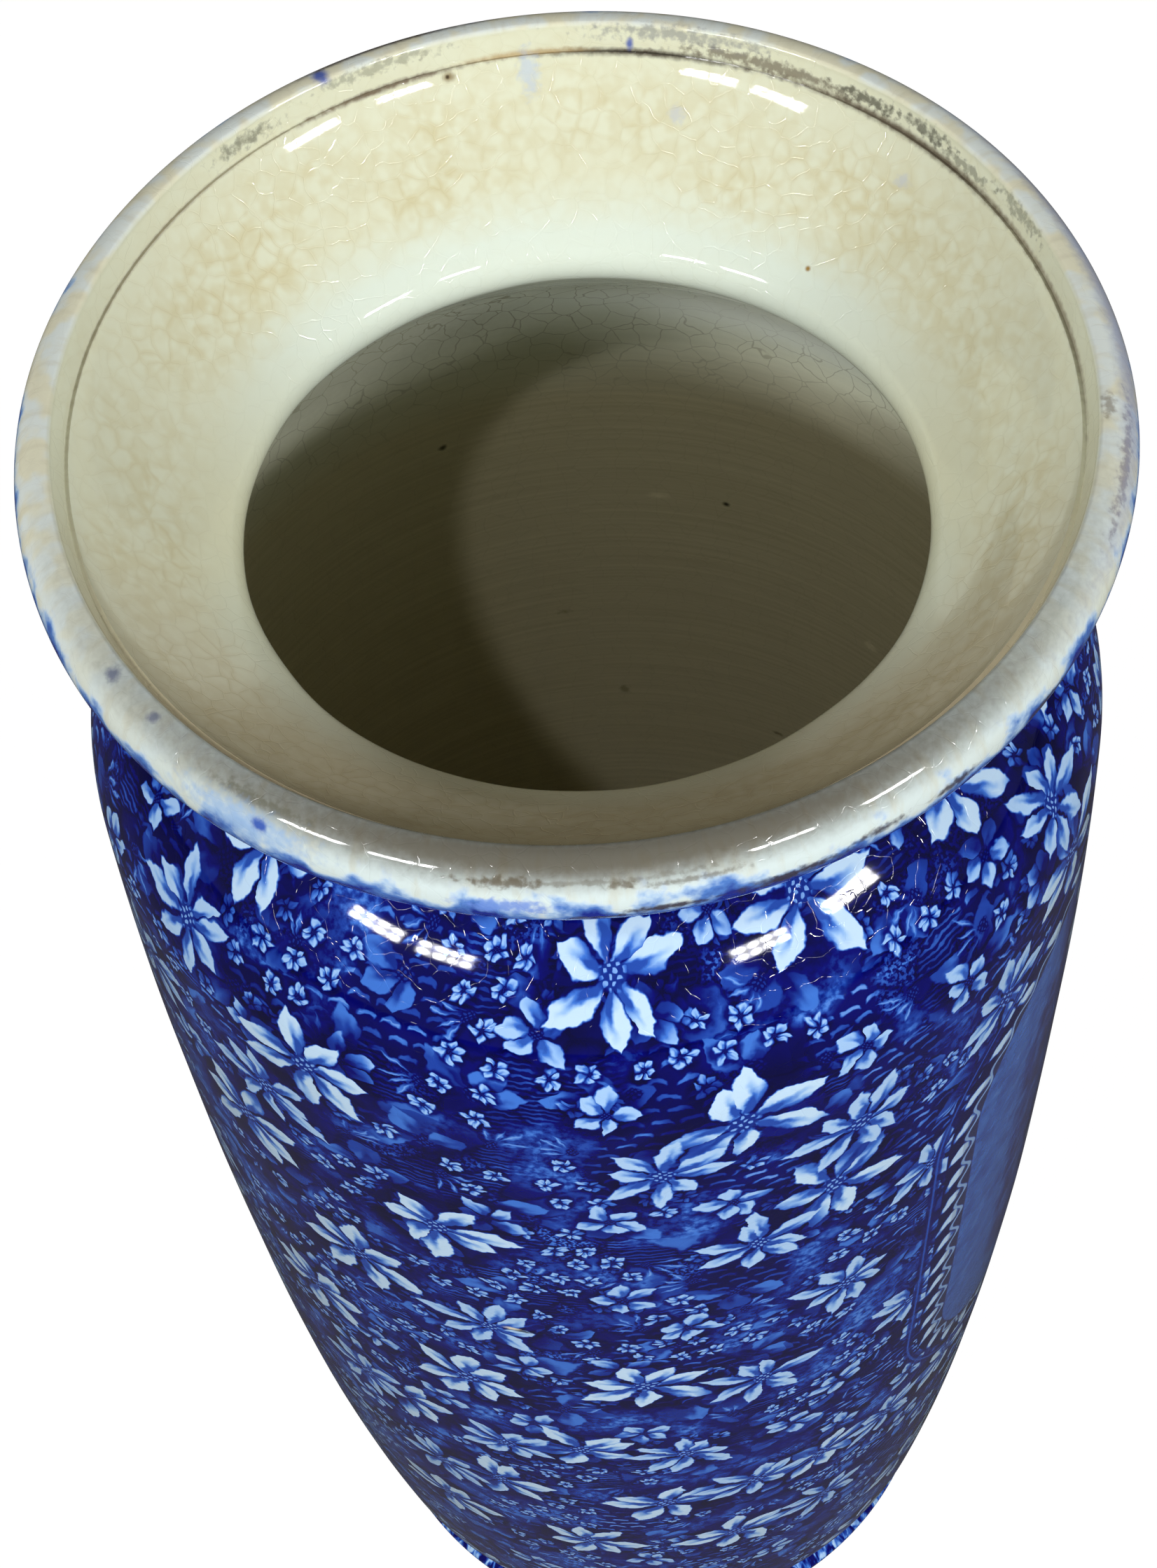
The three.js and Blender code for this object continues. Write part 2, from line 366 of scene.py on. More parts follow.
def crazed_tree():
    """Glaze that has crazed: hairline cracks in a net, the stain that has crept in beside them,
    and a surface that is not quite flat."""
    tree, add, given = new_tree(
        "crazed glaze",
        "ShaderNodeTree",
        {"Place": "Vector", "Cell": "Float"},
        {"Crack": "Float", "Stain": "Float", "Height": "Float"},
    )
    bend = add("TexNoise", {"Vector": (given, "Place"), "Scale": 1 / CRAZE_BEND_LENGTH})
    bent = add("VectorMath", [(bend, "Color"), (CRAZE_BEND,) * 3, (given, "Place")], "MULTIPLY_ADD")
    density = add("Math", [1.0, (given, "Cell")], "DIVIDE")
    net = add("TexVoronoi", {"Vector": bent, "Scale": density}, feature="DISTANCE_TO_EDGE")
    gap = add("Math", [net, (given, "Cell")], "MULTIPLY")
    crack = add("MapRange", [gap, CRAZE_LINE / 3, CRAZE_LINE, 1.0, 0.0], "SMOOTHSTEP")
    stain = add("MapRange", [gap, 0.0, STAIN_CREEP, 1.0, 0.0], "SMOOTHSTEP")
    patch = add("TexNoise", {"Vector": (given, "Place"), "Scale": 1 / STAIN_PATCH_LENGTH})
    patch = add("MapRange", [patch, *STAIN_PATCH_NOISE, *STAIN_PATCH])
    stain = add("Math", [stain, patch], "MULTIPLY")
    wave = add("TexNoise", {"Vector": (given, "Place"), "Scale": 1 / GLAZE_WAVE_LENGTH, "Detail": 1.0})
    wave = add("Math", [wave, GLAZE_WAVE], "MULTIPLY")
    height = add("Math", [crack, -CRACK_DEPTH, wave], "MULTIPLY_ADD")
    add("NodeGroupOutput", [crack, stain, height])
    return tree


crazed = crazed_tree()


def glazed(add, base, craze, roughness=GLAZE_ROUGHNESS):
    """Finishes a material with a coat of glaze over a colour."""
    skin = add("Bump", {"Distance": MM, "Height": (craze, "Height")})
    shader = add(
        "BsdfPrincipled", {"Base Color": base, "Roughness": roughness, "IOR": GLAZE_IOR, "Normal": skin}
    )
    add("OutputMaterial", [shader])


foot_edge = (FOOT_RADIUS - FOOT_EDGE_ROUND, FOOT_EDGE_ROUND)
foot_inner_centre = (foot_edge[0] - STANDING_FACE_WIDTH, FOOT_INNER_ROUND)
foot_edge_run = arc(foot_edge, FOOT_EDGE_ROUND, FOOT_EDGE_ROUND, -90, FOOT_FLARE_ANGLE, steps=12)
foot_outside = foot_edge_run + flowing(
    foot_edge_run[-1],
    heading(FOOT_FLARE_ANGLE + 90),
    FOOT_FLARE_HANDLE,
    (FOOT_WAIST_RADIUS, FOOT_HEIGHT),
    heading(90),
    FOOT_FLARE_HANDLE,
    steps=20,
)
foot_joint = straight((FOOT_WAIST_RADIUS, FOOT_HEIGHT), (FOOT_WAIST_RADIUS - FOOT_WALL, FOOT_HEIGHT))
foot_inside = (
    foot_joint
    + straight(foot_joint[-1], (foot_inner_centre[0] - FOOT_INNER_ROUND, FOOT_INNER_ROUND))
    + arc(foot_inner_centre, FOOT_INNER_ROUND, FOOT_INNER_ROUND, 180, 270, steps=6)
    + straight((foot_inner_centre[0], 0), foot_edge_run[0])
)
foot_length = run_length(foot_outside + foot_inside)

FOOT_ROUND = 354
FOOT_LEAF_WIDTH = 3.1
FOOT_LEAF_HEIGHT = 9
FOOT_LEAF_NOISE = (0.38, 0.68)
FOOT_LEAF_TONES = (0.1, 0.85)
PRINT_CRAZE = 3.0

# Upright leaves in cobalt, which the printer's tissue has left ragged
foot_print, add = new_material("blue printed leaves under glaze")
clay = clay_place(add)
sheet = sheet_place(add, FOOT_ROUND, foot_length)
leaves = add("VectorMath", [sheet, (1 / FOOT_LEAF_WIDTH, 1 / FOOT_LEAF_HEIGHT, 1)], "MULTIPLY")
leaves = add("TexNoise", {"Vector": leaves, "Scale": 2.2, "Detail": 2.0, "Distortion": 0.6})
tone = add("MapRange", [leaves, *FOOT_LEAF_NOISE, *FOOT_LEAF_TONES], "SMOOTHSTEP")
blue = add("ValToRGB", [tone], stops=COBALT)
craze = add("Group", {"Place": clay, "Cell": PRINT_CRAZE}, node_tree=crazed)
glazed(add, blue, craze)

# The sockets of a Mix node where the share of the upper colour, the lower colour and the
# upper colour go in, and where the mixture comes out
SHARE, UNDER, OVER, MIXED = 0, 6, 7, 2

CREAM = "#e2dec6"
FOOT_STAIN = "#c9b48a"
BISCUIT = ((0.3, "#a08a6c"), (0.7, "#d8c7a4"))
FOOT_CRAZE = 3.4
WIPED_HEIGHT = 0.5
GLAZED_HEIGHT = 1.1
BISCUIT_GRIT = 1.4  # grains in a millimetre
BISCUIT_ROUGHNESS = 0.85

# Cream glaze inside the ring, and the biscuit of the standing face, which the kiln
# shelf left dull and a little dirty
foot_cream, add = new_material("cream glaze and bare biscuit")
clay = clay_place(add)
craze = add("Group", {"Place": clay, "Cell": FOOT_CRAZE}, node_tree=crazed)
height = add("SeparateXYZ", [clay])
bare = add("MapRange", [(height, "Z"), WIPED_HEIGHT, GLAZED_HEIGHT, 1.0, 0.0], "SMOOTHSTEP")
stained = add(
    "Mix", {SHARE: (craze, "Stain"), UNDER: colour(CREAM), OVER: colour(FOOT_STAIN)}, data_type="RGBA"
)
grit = add("TexNoise", {"Vector": clay, "Scale": BISCUIT_GRIT, "Detail": 4.0})
biscuit = add("ValToRGB", [grit], stops=BISCUIT)
base = add("Mix", {SHARE: bare, UNDER: (stained, MIXED), OVER: biscuit}, data_type="RGBA")
dull = add("MapRange", [bare, 0.0, 1.0, GLAZE_ROUGHNESS, BISCUIT_ROUGHNESS])
glazed(add, (base, MIXED), craze, dull)

foot = turn_piece("printed_foot_ring", foot_outside, foot_inside, foot_print, foot_cream)
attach(foot, "root")
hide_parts("foot_ring")

# Body
# A tall thrown body with a high round shoulder and a closed floor. Its outside is
# covered with a transfer print of blossoms in cobalt, with a reserve on two sides in a
# rope border, and its inside has the same lead glaze over buff clay.
BELLY_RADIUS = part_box("body")[1].x / MM
NECK_JOINT_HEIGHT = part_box("body")[1].z / MM
HEEL_RISE = 7
HEEL_RADIUS = 58.6
HEEL_ROUND = 4
BELLY_RISE = 188
SIDE_FULLNESS = 2.6
SHOULDER_RISE = 44.5
SHOULDER_LEAN = 1.1
SHOULDER_ROUND = 34
BODY_WALL = 5.2
FLOOR_THICKNESS = 6.5
FLOOR_CORNER_ROUND = 10
NECK_RADIUS = 50
THROAT_RADIUS = 40.2
THROAT_ROUND = 4.2
THROAT_RISE = 9.15
FLOOR_STEP = 6

belly_height = FOOT_HEIGHT + BELLY_RISE
shoulder_height = belly_height + SHOULDER_RISE
shoulder_tilt = math.degrees(math.atan2(2 * SHOULDER_LEAN, SHOULDER_RISE))
shoulder_edge = Vector((BELLY_RADIUS - SHOULDER_LEAN, shoulder_height))
shoulder_centre = shoulder_edge - heading(shoulder_tilt) * SHOULDER_ROUND
neck_angle = math.degrees(math.acos((NECK_RADIUS - shoulder_centre.x) / SHOULDER_ROUND))


def side_radius(height):
    """The outside of the side wall, from the heel up to the shoulder."""
    if height >= belly_height:
        return BELLY_RADIUS - SHOULDER_LEAN * ((height - belly_height) / SHOULDER_RISE) ** 2
    below = (belly_height - height) / (BELLY_RISE - HEEL_RISE)
    return BELLY_RADIUS - (BELLY_RADIUS - HEEL_RADIUS) * below**SIDE_FULLNESS


def side_run(start, end, inset, steps):
    heights = [start + (end - start) * i / steps for i in range(steps + 1)]
    return [(side_radius(height) - inset, height) for height in heights]


def side_tilt(height):
    return math.degrees(math.atan(side_radius(height + 0.5) - side_radius(height - 0.5)))


heel_height = FOOT_HEIGHT + HEEL_RISE
heel_tilt = side_tilt(heel_height)
heel_centre = Vector((side_radius(heel_height), heel_height)) - HEEL_ROUND * heading(-heel_tilt)
under_heel = Vector((heel_centre.x, FOOT_HEIGHT))
fillet_width = under_heel.x - FOOT_WAIST_RADIUS
fillet_height = heel_centre.y - HEEL_ROUND - FOOT_HEIGHT
floor_height = FOOT_HEIGHT + FLOOR_THICKNESS
corner_tilt = side_tilt(floor_height + FLOOR_CORNER_ROUND)
corner_top = floor_height + FLOOR_CORNER_ROUND * (1 - math.sin(math.radians(corner_tilt)))
corner_centre = (
    side_radius(corner_top) - BODY_WALL - FLOOR_CORNER_ROUND * math.cos(math.radians(corner_tilt)),
    floor_height + FLOOR_CORNER_ROUND,
)
inner_round = SHOULDER_ROUND - BODY_WALL
inner_shoulder_height = shoulder_centre.y + inner_round * math.sin(math.radians(shoulder_tilt))

# Inside, a straight slope touches the inner round of the shoulder and the round of
# the throat, and the joint with the mouth cuts it.
throat_centre = Vector((THROAT_RADIUS + THROAT_ROUND, NECK_JOINT_HEIGHT + THROAT_RISE))
between = throat_centre - shoulder_centre
undercut = math.degrees(
    math.atan2(between.y, between.x) - math.acos((inner_round + THROAT_ROUND) / between.length)
)
joint_rise = NECK_JOINT_HEIGHT - shoulder_centre.y
neck_bore = (
    shoulder_centre.x + (inner_round - joint_rise * heading(undercut).y) / heading(undercut).x,
    NECK_JOINT_HEIGHT,
)
inner_shoulder_run = arc(shoulder_centre, inner_round, inner_round, undercut, shoulder_tilt, steps=24)

body_bottom = straight((0, FOOT_HEIGHT), (FOOT_WAIST_RADIUS, FOOT_HEIGHT), FLOOR_STEP)
body_outside = (
    body_bottom
    + arc(under_heel, fillet_width, fillet_height, 180, 90, steps=8)
    + arc(heel_centre, HEEL_ROUND, HEEL_ROUND, -90, -heel_tilt, steps=10)
    + side_run(heel_height, shoulder_height, 0, steps=75)
    + arc(shoulder_centre, SHOULDER_ROUND, SHOULDER_ROUND, shoulder_tilt, neck_angle, steps=28)
)
body_inside = (
    straight((NECK_RADIUS, NECK_JOINT_HEIGHT), neck_bore)
    + straight(neck_bore, inner_shoulder_run[0])
    + inner_shoulder_run
    + side_run(inner_shoulder_height, corner_top, BODY_WALL, steps=60)
    + arc(corner_centre, FLOOR_CORNER_ROUND, FLOOR_CORNER_ROUND, -corner_tilt, -90, steps=10)
    + straight((corner_centre[0], floor_height), (0, floor_height), FLOOR_STEP)
)
body_length = run_length(body_outside + body_inside)


# How a motif is drawn. Ranges are where something begins and where it is complete, as
# shares of the motif's reach or of a petal's length or breadth.
LAYER_SHIFT = (7.3, 11.9, 0)  # millimetres from one layer's cells to the next's
CELL_MIDDLE = (0.5, 0.5, 0.5)
CLUMPS_IN_CELL = 0.31
PETAL_DRAW = 101.0  # parts the draws of the petals from those of the motifs
PETAL_TURN = 0.24
PETAL_REACH = 0.95
PETAL_REACH_SPREAD = 0.4
PETAL_CURL = 2.4
PETAL_FULLNESS = 1.25
PETAL_POINT = 1.2
PETAL_EDGE = 0.45  # millimetres
LIGHT_LEAN = 0.38
LIGHT_RANGE = (0.1, 0.55)
VEIN_ASIDE = 0.16
VEIN_RANGE = (0.05, 0.32)
VEIN_DEPTH = 0.75
VEIN_FADE = (0.45, 0.8)
HALO_RANGE = (0.75, 1.2)
HEART_DOTS = 48.0
HEART_DOT_EDGE = (0.05, 0.5)
HEART_DOT_TONES = (0.6, 1.7)
HEART_RANGE = (0.13, 0.22)


def motif_tree():
    """Prints a layer of blossoms or sprigs over what is there, one in each cell of a sheet that is
    laid like bricks. Lengths are in millimetres."""
    numbers = "Tone Across Up Round Stagger Loose Share Clump Petals Kept Reach Breadth".split()
    numbers += "Dark Pale Heart Halo Seed".split()
    tree, add, given = new_tree(
        "printed motifs",
        "ShaderNodeTree",
        {"Place": "Vector", **{name: "Float" for name in numbers}},
        {"Tone": "Float"},
    )
    # Which cell, and where in it
    moved = add("VectorMath", [(given, "Seed"), LAYER_SHIFT, (given, "Place")], "MULTIPLY_ADD")
    size = add("CombineXYZ", [(given, "Across"), (given, "Up")])
    steps = add("VectorMath", [moved, size], "DIVIDE")
    steps = add("SeparateXYZ", [steps])
    row = add("Math", [(steps, "Y")], "FLOOR")
    across = add("Math", [row, (given, "Stagger"), (steps, "X")], "MULTIPLY_ADD")
    column = add("Math", [across], "FLOOR")
    column = add("Math", [column, (given, "Round"), 0.0], "WRAP")
    cell = add("CombineXYZ", [column, row, (given, "Seed")])
    draw = add("TexWhiteNoise", {"Vector": cell})
    part_across = add("Math", [across], "FRACT")
    part_up = add("Math", [(steps, "Y")], "FRACT")
    within = add("CombineXYZ", [part_across, part_up])
    centre = add("VectorMath", [(draw, "Color"), CELL_MIDDLE], "SUBTRACT")
    centre = add("VectorMath", [centre, (given, "Loose"), CELL_MIDDLE], "MULTIPLY_ADD")
    local = add("VectorMath", [within, centre], "SUBTRACT")
    local = add("VectorMath", [local, size], "MULTIPLY")
    # Which motifs are left out
    clump = add("TexNoise", {"Vector": cell, "Scale": CLUMPS_IN_CELL, "Detail": 0.0})
    clump = add("MapRange", [clump, *NOISE])
    chance = add("Mix", {"Factor": (given, "Clump"), "A": (draw, "Value"), "B": clump})
    there = add("Math", [chance, (given, "Share")], "LESS_THAN")
    # Which petal, and where on it
    flat = add("SeparateXYZ", [local])
    out = add("VectorMath", [local], "LENGTH")
    out = (out, "Value")
    angle = add("Math", [(flat, "Y"), (flat, "X")], "ARCTAN2")
    drawn = add("SeparateXYZ", [(draw, "Color")])
    turned = add("Math", [angle, 1 / math.tau, (drawn, "Z")], "MULTIPLY_ADD")
    turned = add("Math", [turned, (given, "Petals")], "MULTIPLY")
    petal = add("Math", [turned], "ROUND")
    off = add("Math", [turned, petal], "SUBTRACT")
    off = add("Math", [off, math.tau], "MULTIPLY")
    off = add("Math", [off, (given, "Petals")], "DIVIDE")
    petal = add("Math", [petal, (given, "Petals"), 0.0], "WRAP")
    kept = add("Math", [petal, (given, "Kept")], "LESS_THAN")
    own = add("Math", [(draw, "Value"), PETAL_DRAW], "MULTIPLY")
    own = add("CombineXYZ", [petal, own, (given, "Seed")])
    own = add("TexWhiteNoise", {"Vector": own})
    own = add("VectorMath", [(own, "Color"), CELL_MIDDLE], "SUBTRACT")
    own = add("SeparateXYZ", [own])
    off = add("Math", [(own, "X"), PETAL_TURN, off], "MULTIPLY_ADD")
    along = add("Math", [off], "COSINE")
    along = add("Math", [along, out], "MULTIPLY")
    side = add("Math", [off], "SINE")
    side = add("Math", [side, out], "MULTIPLY")
    reach = add("Math", [(own, "Y"), PETAL_REACH_SPREAD, PETAL_REACH], "MULTIPLY_ADD")
    reach = add("Math", [reach, (given, "Reach")], "MULTIPLY")
    along = add("Math", [along, reach], "DIVIDE", use_clamp=True)
    curl = add("Math", [along, along], "MULTIPLY")
    curl = add("Math", [curl, (own, "Z")], "MULTIPLY")
    curl = add("Math", [curl, PETAL_CURL], "MULTIPLY")
    side = add("Math", [curl, (given, "Breadth"), side], "MULTIPLY_ADD")
    # A petal that is narrow at the heart, full beyond the middle, and pointed
    width = add("Math", [along, PETAL_FULLNESS], "POWER")
    width = add("Math", [width, math.pi], "MULTIPLY")
    width = add("Math", [width], "SINE")
    width = add("Math", [width, PETAL_POINT], "POWER")
    width = add("Math", [width, (given, "Breadth")], "MULTIPLY")
    beside = add("Math", [side], "ABSOLUTE")
    cover = add("Math", [width, beside], "SUBTRACT")
    cover = add("MapRange", [cover, 0.0, PETAL_EDGE], "SMOOTHSTEP")
    cover = add("Math", [cover, kept], "MULTIPLY")
    cover = add("Math", [cover, there], "MULTIPLY")
    # Engraved shading: pale along one edge and at the tip, dark up the middle from the heart
    lean = add("Math", [side, (given, "Breadth")], "DIVIDE")
    light = add("Math", [lean, LIGHT_LEAN, along], "MULTIPLY_ADD")
    light = add("MapRange", [light, *LIGHT_RANGE], "SMOOTHSTEP")
    vein = add("Math", [lean, VEIN_ASIDE])
    vein = add("Math", [vein], "ABSOLUTE")
    vein = add("MapRange", [vein, *VEIN_RANGE, VEIN_DEPTH, 0.0])
    fading = add("MapRange", [along, *VEIN_FADE, 1.0, 0.0])
    vein = add("Math", [vein, fading], "MULTIPLY")
    light = add("Math", [light, vein], "SUBTRACT", use_clamp=True)
    petal_tone = add("MapRange", [light, 0.0, 1.0, (given, "Dark"), (given, "Pale")])
    # The dark that the engraver left round each motif, so that it stands out
    share_out = add("Math", [out, (given, "Reach")], "DIVIDE")
    halo = add("MapRange", [share_out, *HALO_RANGE, (given, "Halo"), 0.0], "SMOOTHSTEP")
    halo = add("Math", [halo, there], "MULTIPLY")
    halo = add("Math", [1.0, halo], "SUBTRACT")
    tone = add("Math", [(given, "Tone"), halo], "MULTIPLY")
    tone = add("Mix", {"Factor": cover, "A": tone, "B": petal_tone})
    # The heart, with its dots
    dots = add("VectorMath", [local, (given, "Reach")], "DIVIDE")
    dots = add("VectorMath", {0: dots, "Scale": HEART_DOTS}, "SCALE")
    dots = add("VectorMath", [dots], "SINE")
    dots = add("SeparateXYZ", [dots])
    dots = add("Math", [(dots, "X"), (dots, "Y")], "MULTIPLY")
    dots = add("MapRange", [dots, *HEART_DOT_EDGE, *HEART_DOT_TONES])
    dots = add("Math", [dots, (given, "Heart")], "MULTIPLY")
    heart = add("MapRange", [share_out, *HEART_RANGE, 1.0, 0.0], "SMOOTHSTEP")
    heart = add("Math", [heart, there], "MULTIPLY")
    tone = add("Mix", {"Factor": heart, "A": tone, "B": dots})
    add("NodeGroupOutput", [tone])
    return tree


motifs = motif_tree()

# The print's own sizes. The sheet goes once round the body, so each kind of motif has
# a whole number of cells round it. Later layers are printed over earlier ones.
SHEET_ROUND = 408
LEAVES = dict(Round=25, Up=14.5, Loose=0.3, Share=0.85, Clump=0, Petals=5, Kept=3, Reach=7.6)
LEAVES.update(Breadth=2.3, Dark=0.24, Pale=0.54, Heart=0.16, Halo=0.45)
SPRIGS = dict(Round=33, Up=11, Loose=0.35, Share=0.6, Clump=0, Petals=13, Kept=4, Reach=5.6)
SPRIGS.update(Breadth=0.55, Dark=0.35, Pale=0.66, Heart=0.15, Halo=0.35)
FLORETS = dict(Round=76, Up=4.9, Loose=0.3, Share=0.46, Clump=0.85, Petals=6, Kept=6, Reach=2)
FLORETS.update(Breadth=0.75, Dark=0.55, Pale=0.78, Heart=0.12, Halo=0.7)
STARS = dict(Round=26, Up=13.5, Loose=0.35, Share=0.42, Clump=0, Petals=5, Kept=5, Reach=5.2)
STARS.update(Breadth=1.7, Dark=0.42, Pale=0.8, Heart=0.15, Halo=0.6)
BLOSSOMS = dict(Round=15, Up=28, Loose=0.2, Share=0.62, Clump=0, Petals=7, Kept=7, Reach=10.6)
BLOSSOMS.update(Breadth=2.3, Dark=0.38, Pale=0.91, Heart=0.4, Halo=0.7)
MORE_BLOSSOMS = dict(BLOSSOMS, Round=16, Up=26, Share=0.44, Petals=8, Kept=8, Reach=9.4, Breadth=1.8)
MORE_BLOSSOMS.update(Pale=0.83, Halo=0.6)
LAYERS = (LEAVES, SPRIGS, FLORETS, STARS, BLOSSOMS, MORE_BLOSSOMS)
BRICK_STAGGER = 0.5
# Lengths in millimetres, and tones from the darkest to the palest that a ground has
DRIFT_LENGTH = 24
DRIFT = (5, 5, 0)
SHIVER_LENGTH = 2
SHIVER = (1.7, 1.7, 0)
LEAF_SHIVER = (2, 2, 2)
LEAF_LENGTH = 6
LEAF_TONES = (0.15, 0.56)
LEAF_GAP = (0.02, 0.1)
LEAF_GAP_TONE = 0.4
HATCH_PITCH = 0.95
HATCH_EDGE = (-0.1, 0.7)
HATCH_TONES = (0.1, 0.42)
HATCHED_FROM = 0.66
STIPPLE_LENGTH = 0.5
STIPPLE_NOISE = (0.42, 0.6)
STIPPLE_TONES = (0.1, 0.56)
STIPPLED_FROM = 0.7
PALE_DRIFT_LENGTH = 17
PALE_DRIFT_NOISE = (0.48, 0.56)
NET_LENGTH = 1.1
NET_NOISE = (0.36, 0.62)
NET_TONES = (0.24, 0.58)
DASH_PITCH = 3.7
DASH_ROW = 2.3
DASH_STAGGER = 0.37
DASH_BOW = 0.22
DASH_DROP = 0.2
DASH_HALF_WIDTH = (0.18, 0.5)
DASH_HALF_LENGTH = (1.1, 1.55)
DASH_TONES = (0.12, 0.62)
DASH_DRIFT_LENGTH = 20
DASH_DRIFT_NOISE = (0.56, 0.6)


def sheet_tree():
    """The blossom sheet: how pale the print is, from 0 for dense cobalt to 1 for the bare body."""
    tree, add, given = new_tree(
        "sheet of blossoms", "ShaderNodeTree", {"Place": "Vector", "Clay": "Vector"}, {"Tone": "Float"}
    )
    drift = add("TexNoise", {"Vector": (given, "Clay"), "Scale": 1 / DRIFT_LENGTH})
    shiver = add("TexNoise", {"Vector": (given, "Clay"), "Scale": 1 / SHIVER_LENGTH})
    place = add("VectorMath", [(drift, "Color"), DRIFT, (given, "Place")], "MULTIPLY_ADD")
    place = add("VectorMath", [(shiver, "Color"), SHIVER, place], "MULTIPLY_ADD")
    bent = add("VectorMath", [(shiver, "Color"), LEAF_SHIVER, (given, "Clay")], "MULTIPLY_ADD")
    # Ground of small leaves, each with its own tone, some hatched and some stippled
    leaf = add("TexVoronoi", {"Vector": bent, "Scale": 1 / LEAF_LENGTH})
    edge = add("TexVoronoi", {"Vector": bent, "Scale": 1 / LEAF_LENGTH}, feature="DISTANCE_TO_EDGE")
    own = add("SeparateXYZ", [(leaf, "Color")])
    leaf_tone = add("Math", [(own, "X"), 2.0], "POWER")
    leaf_tone = add("MapRange", [leaf_tone, 0.0, 1.0, *LEAF_TONES])
    sheet = add("SeparateXYZ", [place])
    hatch = add("Math", [(sheet, "Y"), math.tau / HATCH_PITCH], "MULTIPLY")
    hatch = add("Math", [hatch], "SINE")
    hatch = add("MapRange", [hatch, *HATCH_EDGE, *HATCH_TONES])
    hatched = add("Math", [(own, "Y"), HATCHED_FROM], "GREATER_THAN")
    tone = add("Mix", {"Factor": hatched, "A": leaf_tone, "B": hatch})
    stipple = add("TexNoise", {"Vector": (given, "Clay"), "Scale": 1 / STIPPLE_LENGTH, "Detail": 1.0})
    stipple = add("MapRange", [stipple, *STIPPLE_NOISE, *STIPPLE_TONES])
    stippled = add("Math", [(own, "Z"), STIPPLED_FROM], "GREATER_THAN")
    tone = add("Mix", {"Factor": stippled, "A": tone, "B": stipple})
    gap = add("MapRange", [edge, *LEAF_GAP, LEAF_GAP_TONE, 1.0], "SMOOTHSTEP")
    tone = add("Math", [tone, gap], "MULTIPLY")
    # Drifts where the engraver stippled a paler ground between the leaves
    paler = add("TexNoise", {"Vector": (given, "Clay"), "Scale": 1 / PALE_DRIFT_LENGTH, "Detail": 2.0})
    paler = add("MapRange", [paler, *PALE_DRIFT_NOISE])
    net = add("TexNoise", {"Vector": (given, "Clay"), "Scale": 1 / NET_LENGTH, "Detail": 3.0})
    net = add("MapRange", [net, *NET_NOISE, *NET_TONES])
    tone = add("Mix", {"Factor": paler, "A": tone, "B": net})
    # Rows of small arched dashes in drifts
    steps = add("VectorMath", [place, (1 / DASH_PITCH, 1 / DASH_ROW, 0)], "MULTIPLY")
    steps = add("SeparateXYZ", [steps])
    row = add("Math", [(steps, "Y")], "FLOOR")
    across = add("Math", [row, DASH_STAGGER, (steps, "X")], "MULTIPLY_ADD")
    across = add("Math", [across], "FRACT")
    across = add("MapRange", [across, 0.0, 1.0, -DASH_PITCH / 2, DASH_PITCH / 2])
    up = add("Math", [(steps, "Y")], "FRACT")
    up = add("MapRange", [up, 0.0, 1.0, -DASH_ROW / 2, DASH_ROW / 2])
    bow = add("Math", [across, across], "MULTIPLY")
    bow = add("Math", [bow, DASH_BOW, up], "MULTIPLY_ADD")
    bow = add("Math", [bow, DASH_DROP], "SUBTRACT")
    bow = add("Math", [bow], "ABSOLUTE")
    dash = add("MapRange", [bow, *DASH_HALF_WIDTH, 1.0, 0.0], "SMOOTHSTEP")
    end = add("Math", [across], "ABSOLUTE")
    end = add("MapRange", [end, *DASH_HALF_LENGTH, 1.0, 0.0], "SMOOTHSTEP")
    dash = add("Math", [dash, end], "MULTIPLY")
    dash = add("MapRange", [dash, 0.0, 1.0, *DASH_TONES])
    zone = add("TexNoise", {"Vector": (given, "Clay"), "Scale": 1 / DASH_DRIFT_LENGTH, "Detail": 0.0})
    zone = add("MapRange", [zone, *DASH_DRIFT_NOISE])
    tone = add("Mix", {"Factor": zone, "A": tone, "B": dash})
    for seed, sizes in enumerate(LAYERS, 1):
        sizes = dict(sizes, Across=SHEET_ROUND / sizes["Round"], Stagger=BRICK_STAGGER)
        tone = add("Group", dict(sizes, Seed=seed, Tone=tone, Place=place), node_tree=motifs)
    add("NodeGroupOutput", [tone])
    return tree


blossom_sheet = sheet_tree()

# The reserves: on two sides of the body a washed panel, with a column of blossoms and
# leaves down its middle, in a border of rope
PANEL_AZIMUTH = 75
PANEL_HEIGHT = 170
PANEL_HALF_WIDTH = 38
PANEL_HALF_HEIGHT = 64
PANEL_CORNER = 30
ROPE_PITCH = 7.8
ROPE_HALF_WIDTH = 2.8
STRAND_HALF_LENGTH = 2.5
STRAND_HALF_WIDTH = 1.6
STRAND_OUT = 0.5
STRAND_SLANT = 35
STRAND_BOW = -0.16
STRAND_RAGGED = 1.6
STRAND_EDGE = (1.5, 1.9)
STRAND_TONES = (0.9, 0.05)
THREAD_START = 1.1  # radians along its wave
THREAD_SWING = 0.9
THREAD_IN = 1.5
THREAD_HALF_WIDTH = (0.25, 0.55)
THREAD_TONE = 0.78
RULE_OUT = 5
RULE_HALF_WIDTH = (0.12, 0.35)
RULE_STRENGTH = 0.9
RULE_TONE = 0.42
RULE_GAP = (0.7, 1.1)
RULE_GAP_STRENGTH = 0.7
RULE_GAP_TONE = 0.1
MOTTLE_LENGTH = 3
WASH_TONES = (0.38, 0.58)
WASH_WIDTH = 16
WASH_RAGGED = 6.0
WASH_EDGE = (0.5, 5.5)
WASH_GREY = 0.35
DEEP_NOISE = (0.35, 0.65)
DEEP_TONES = (0.16, 0.46)
PANEL_SOFT = 0.4
BAND_SOFT = 0.3
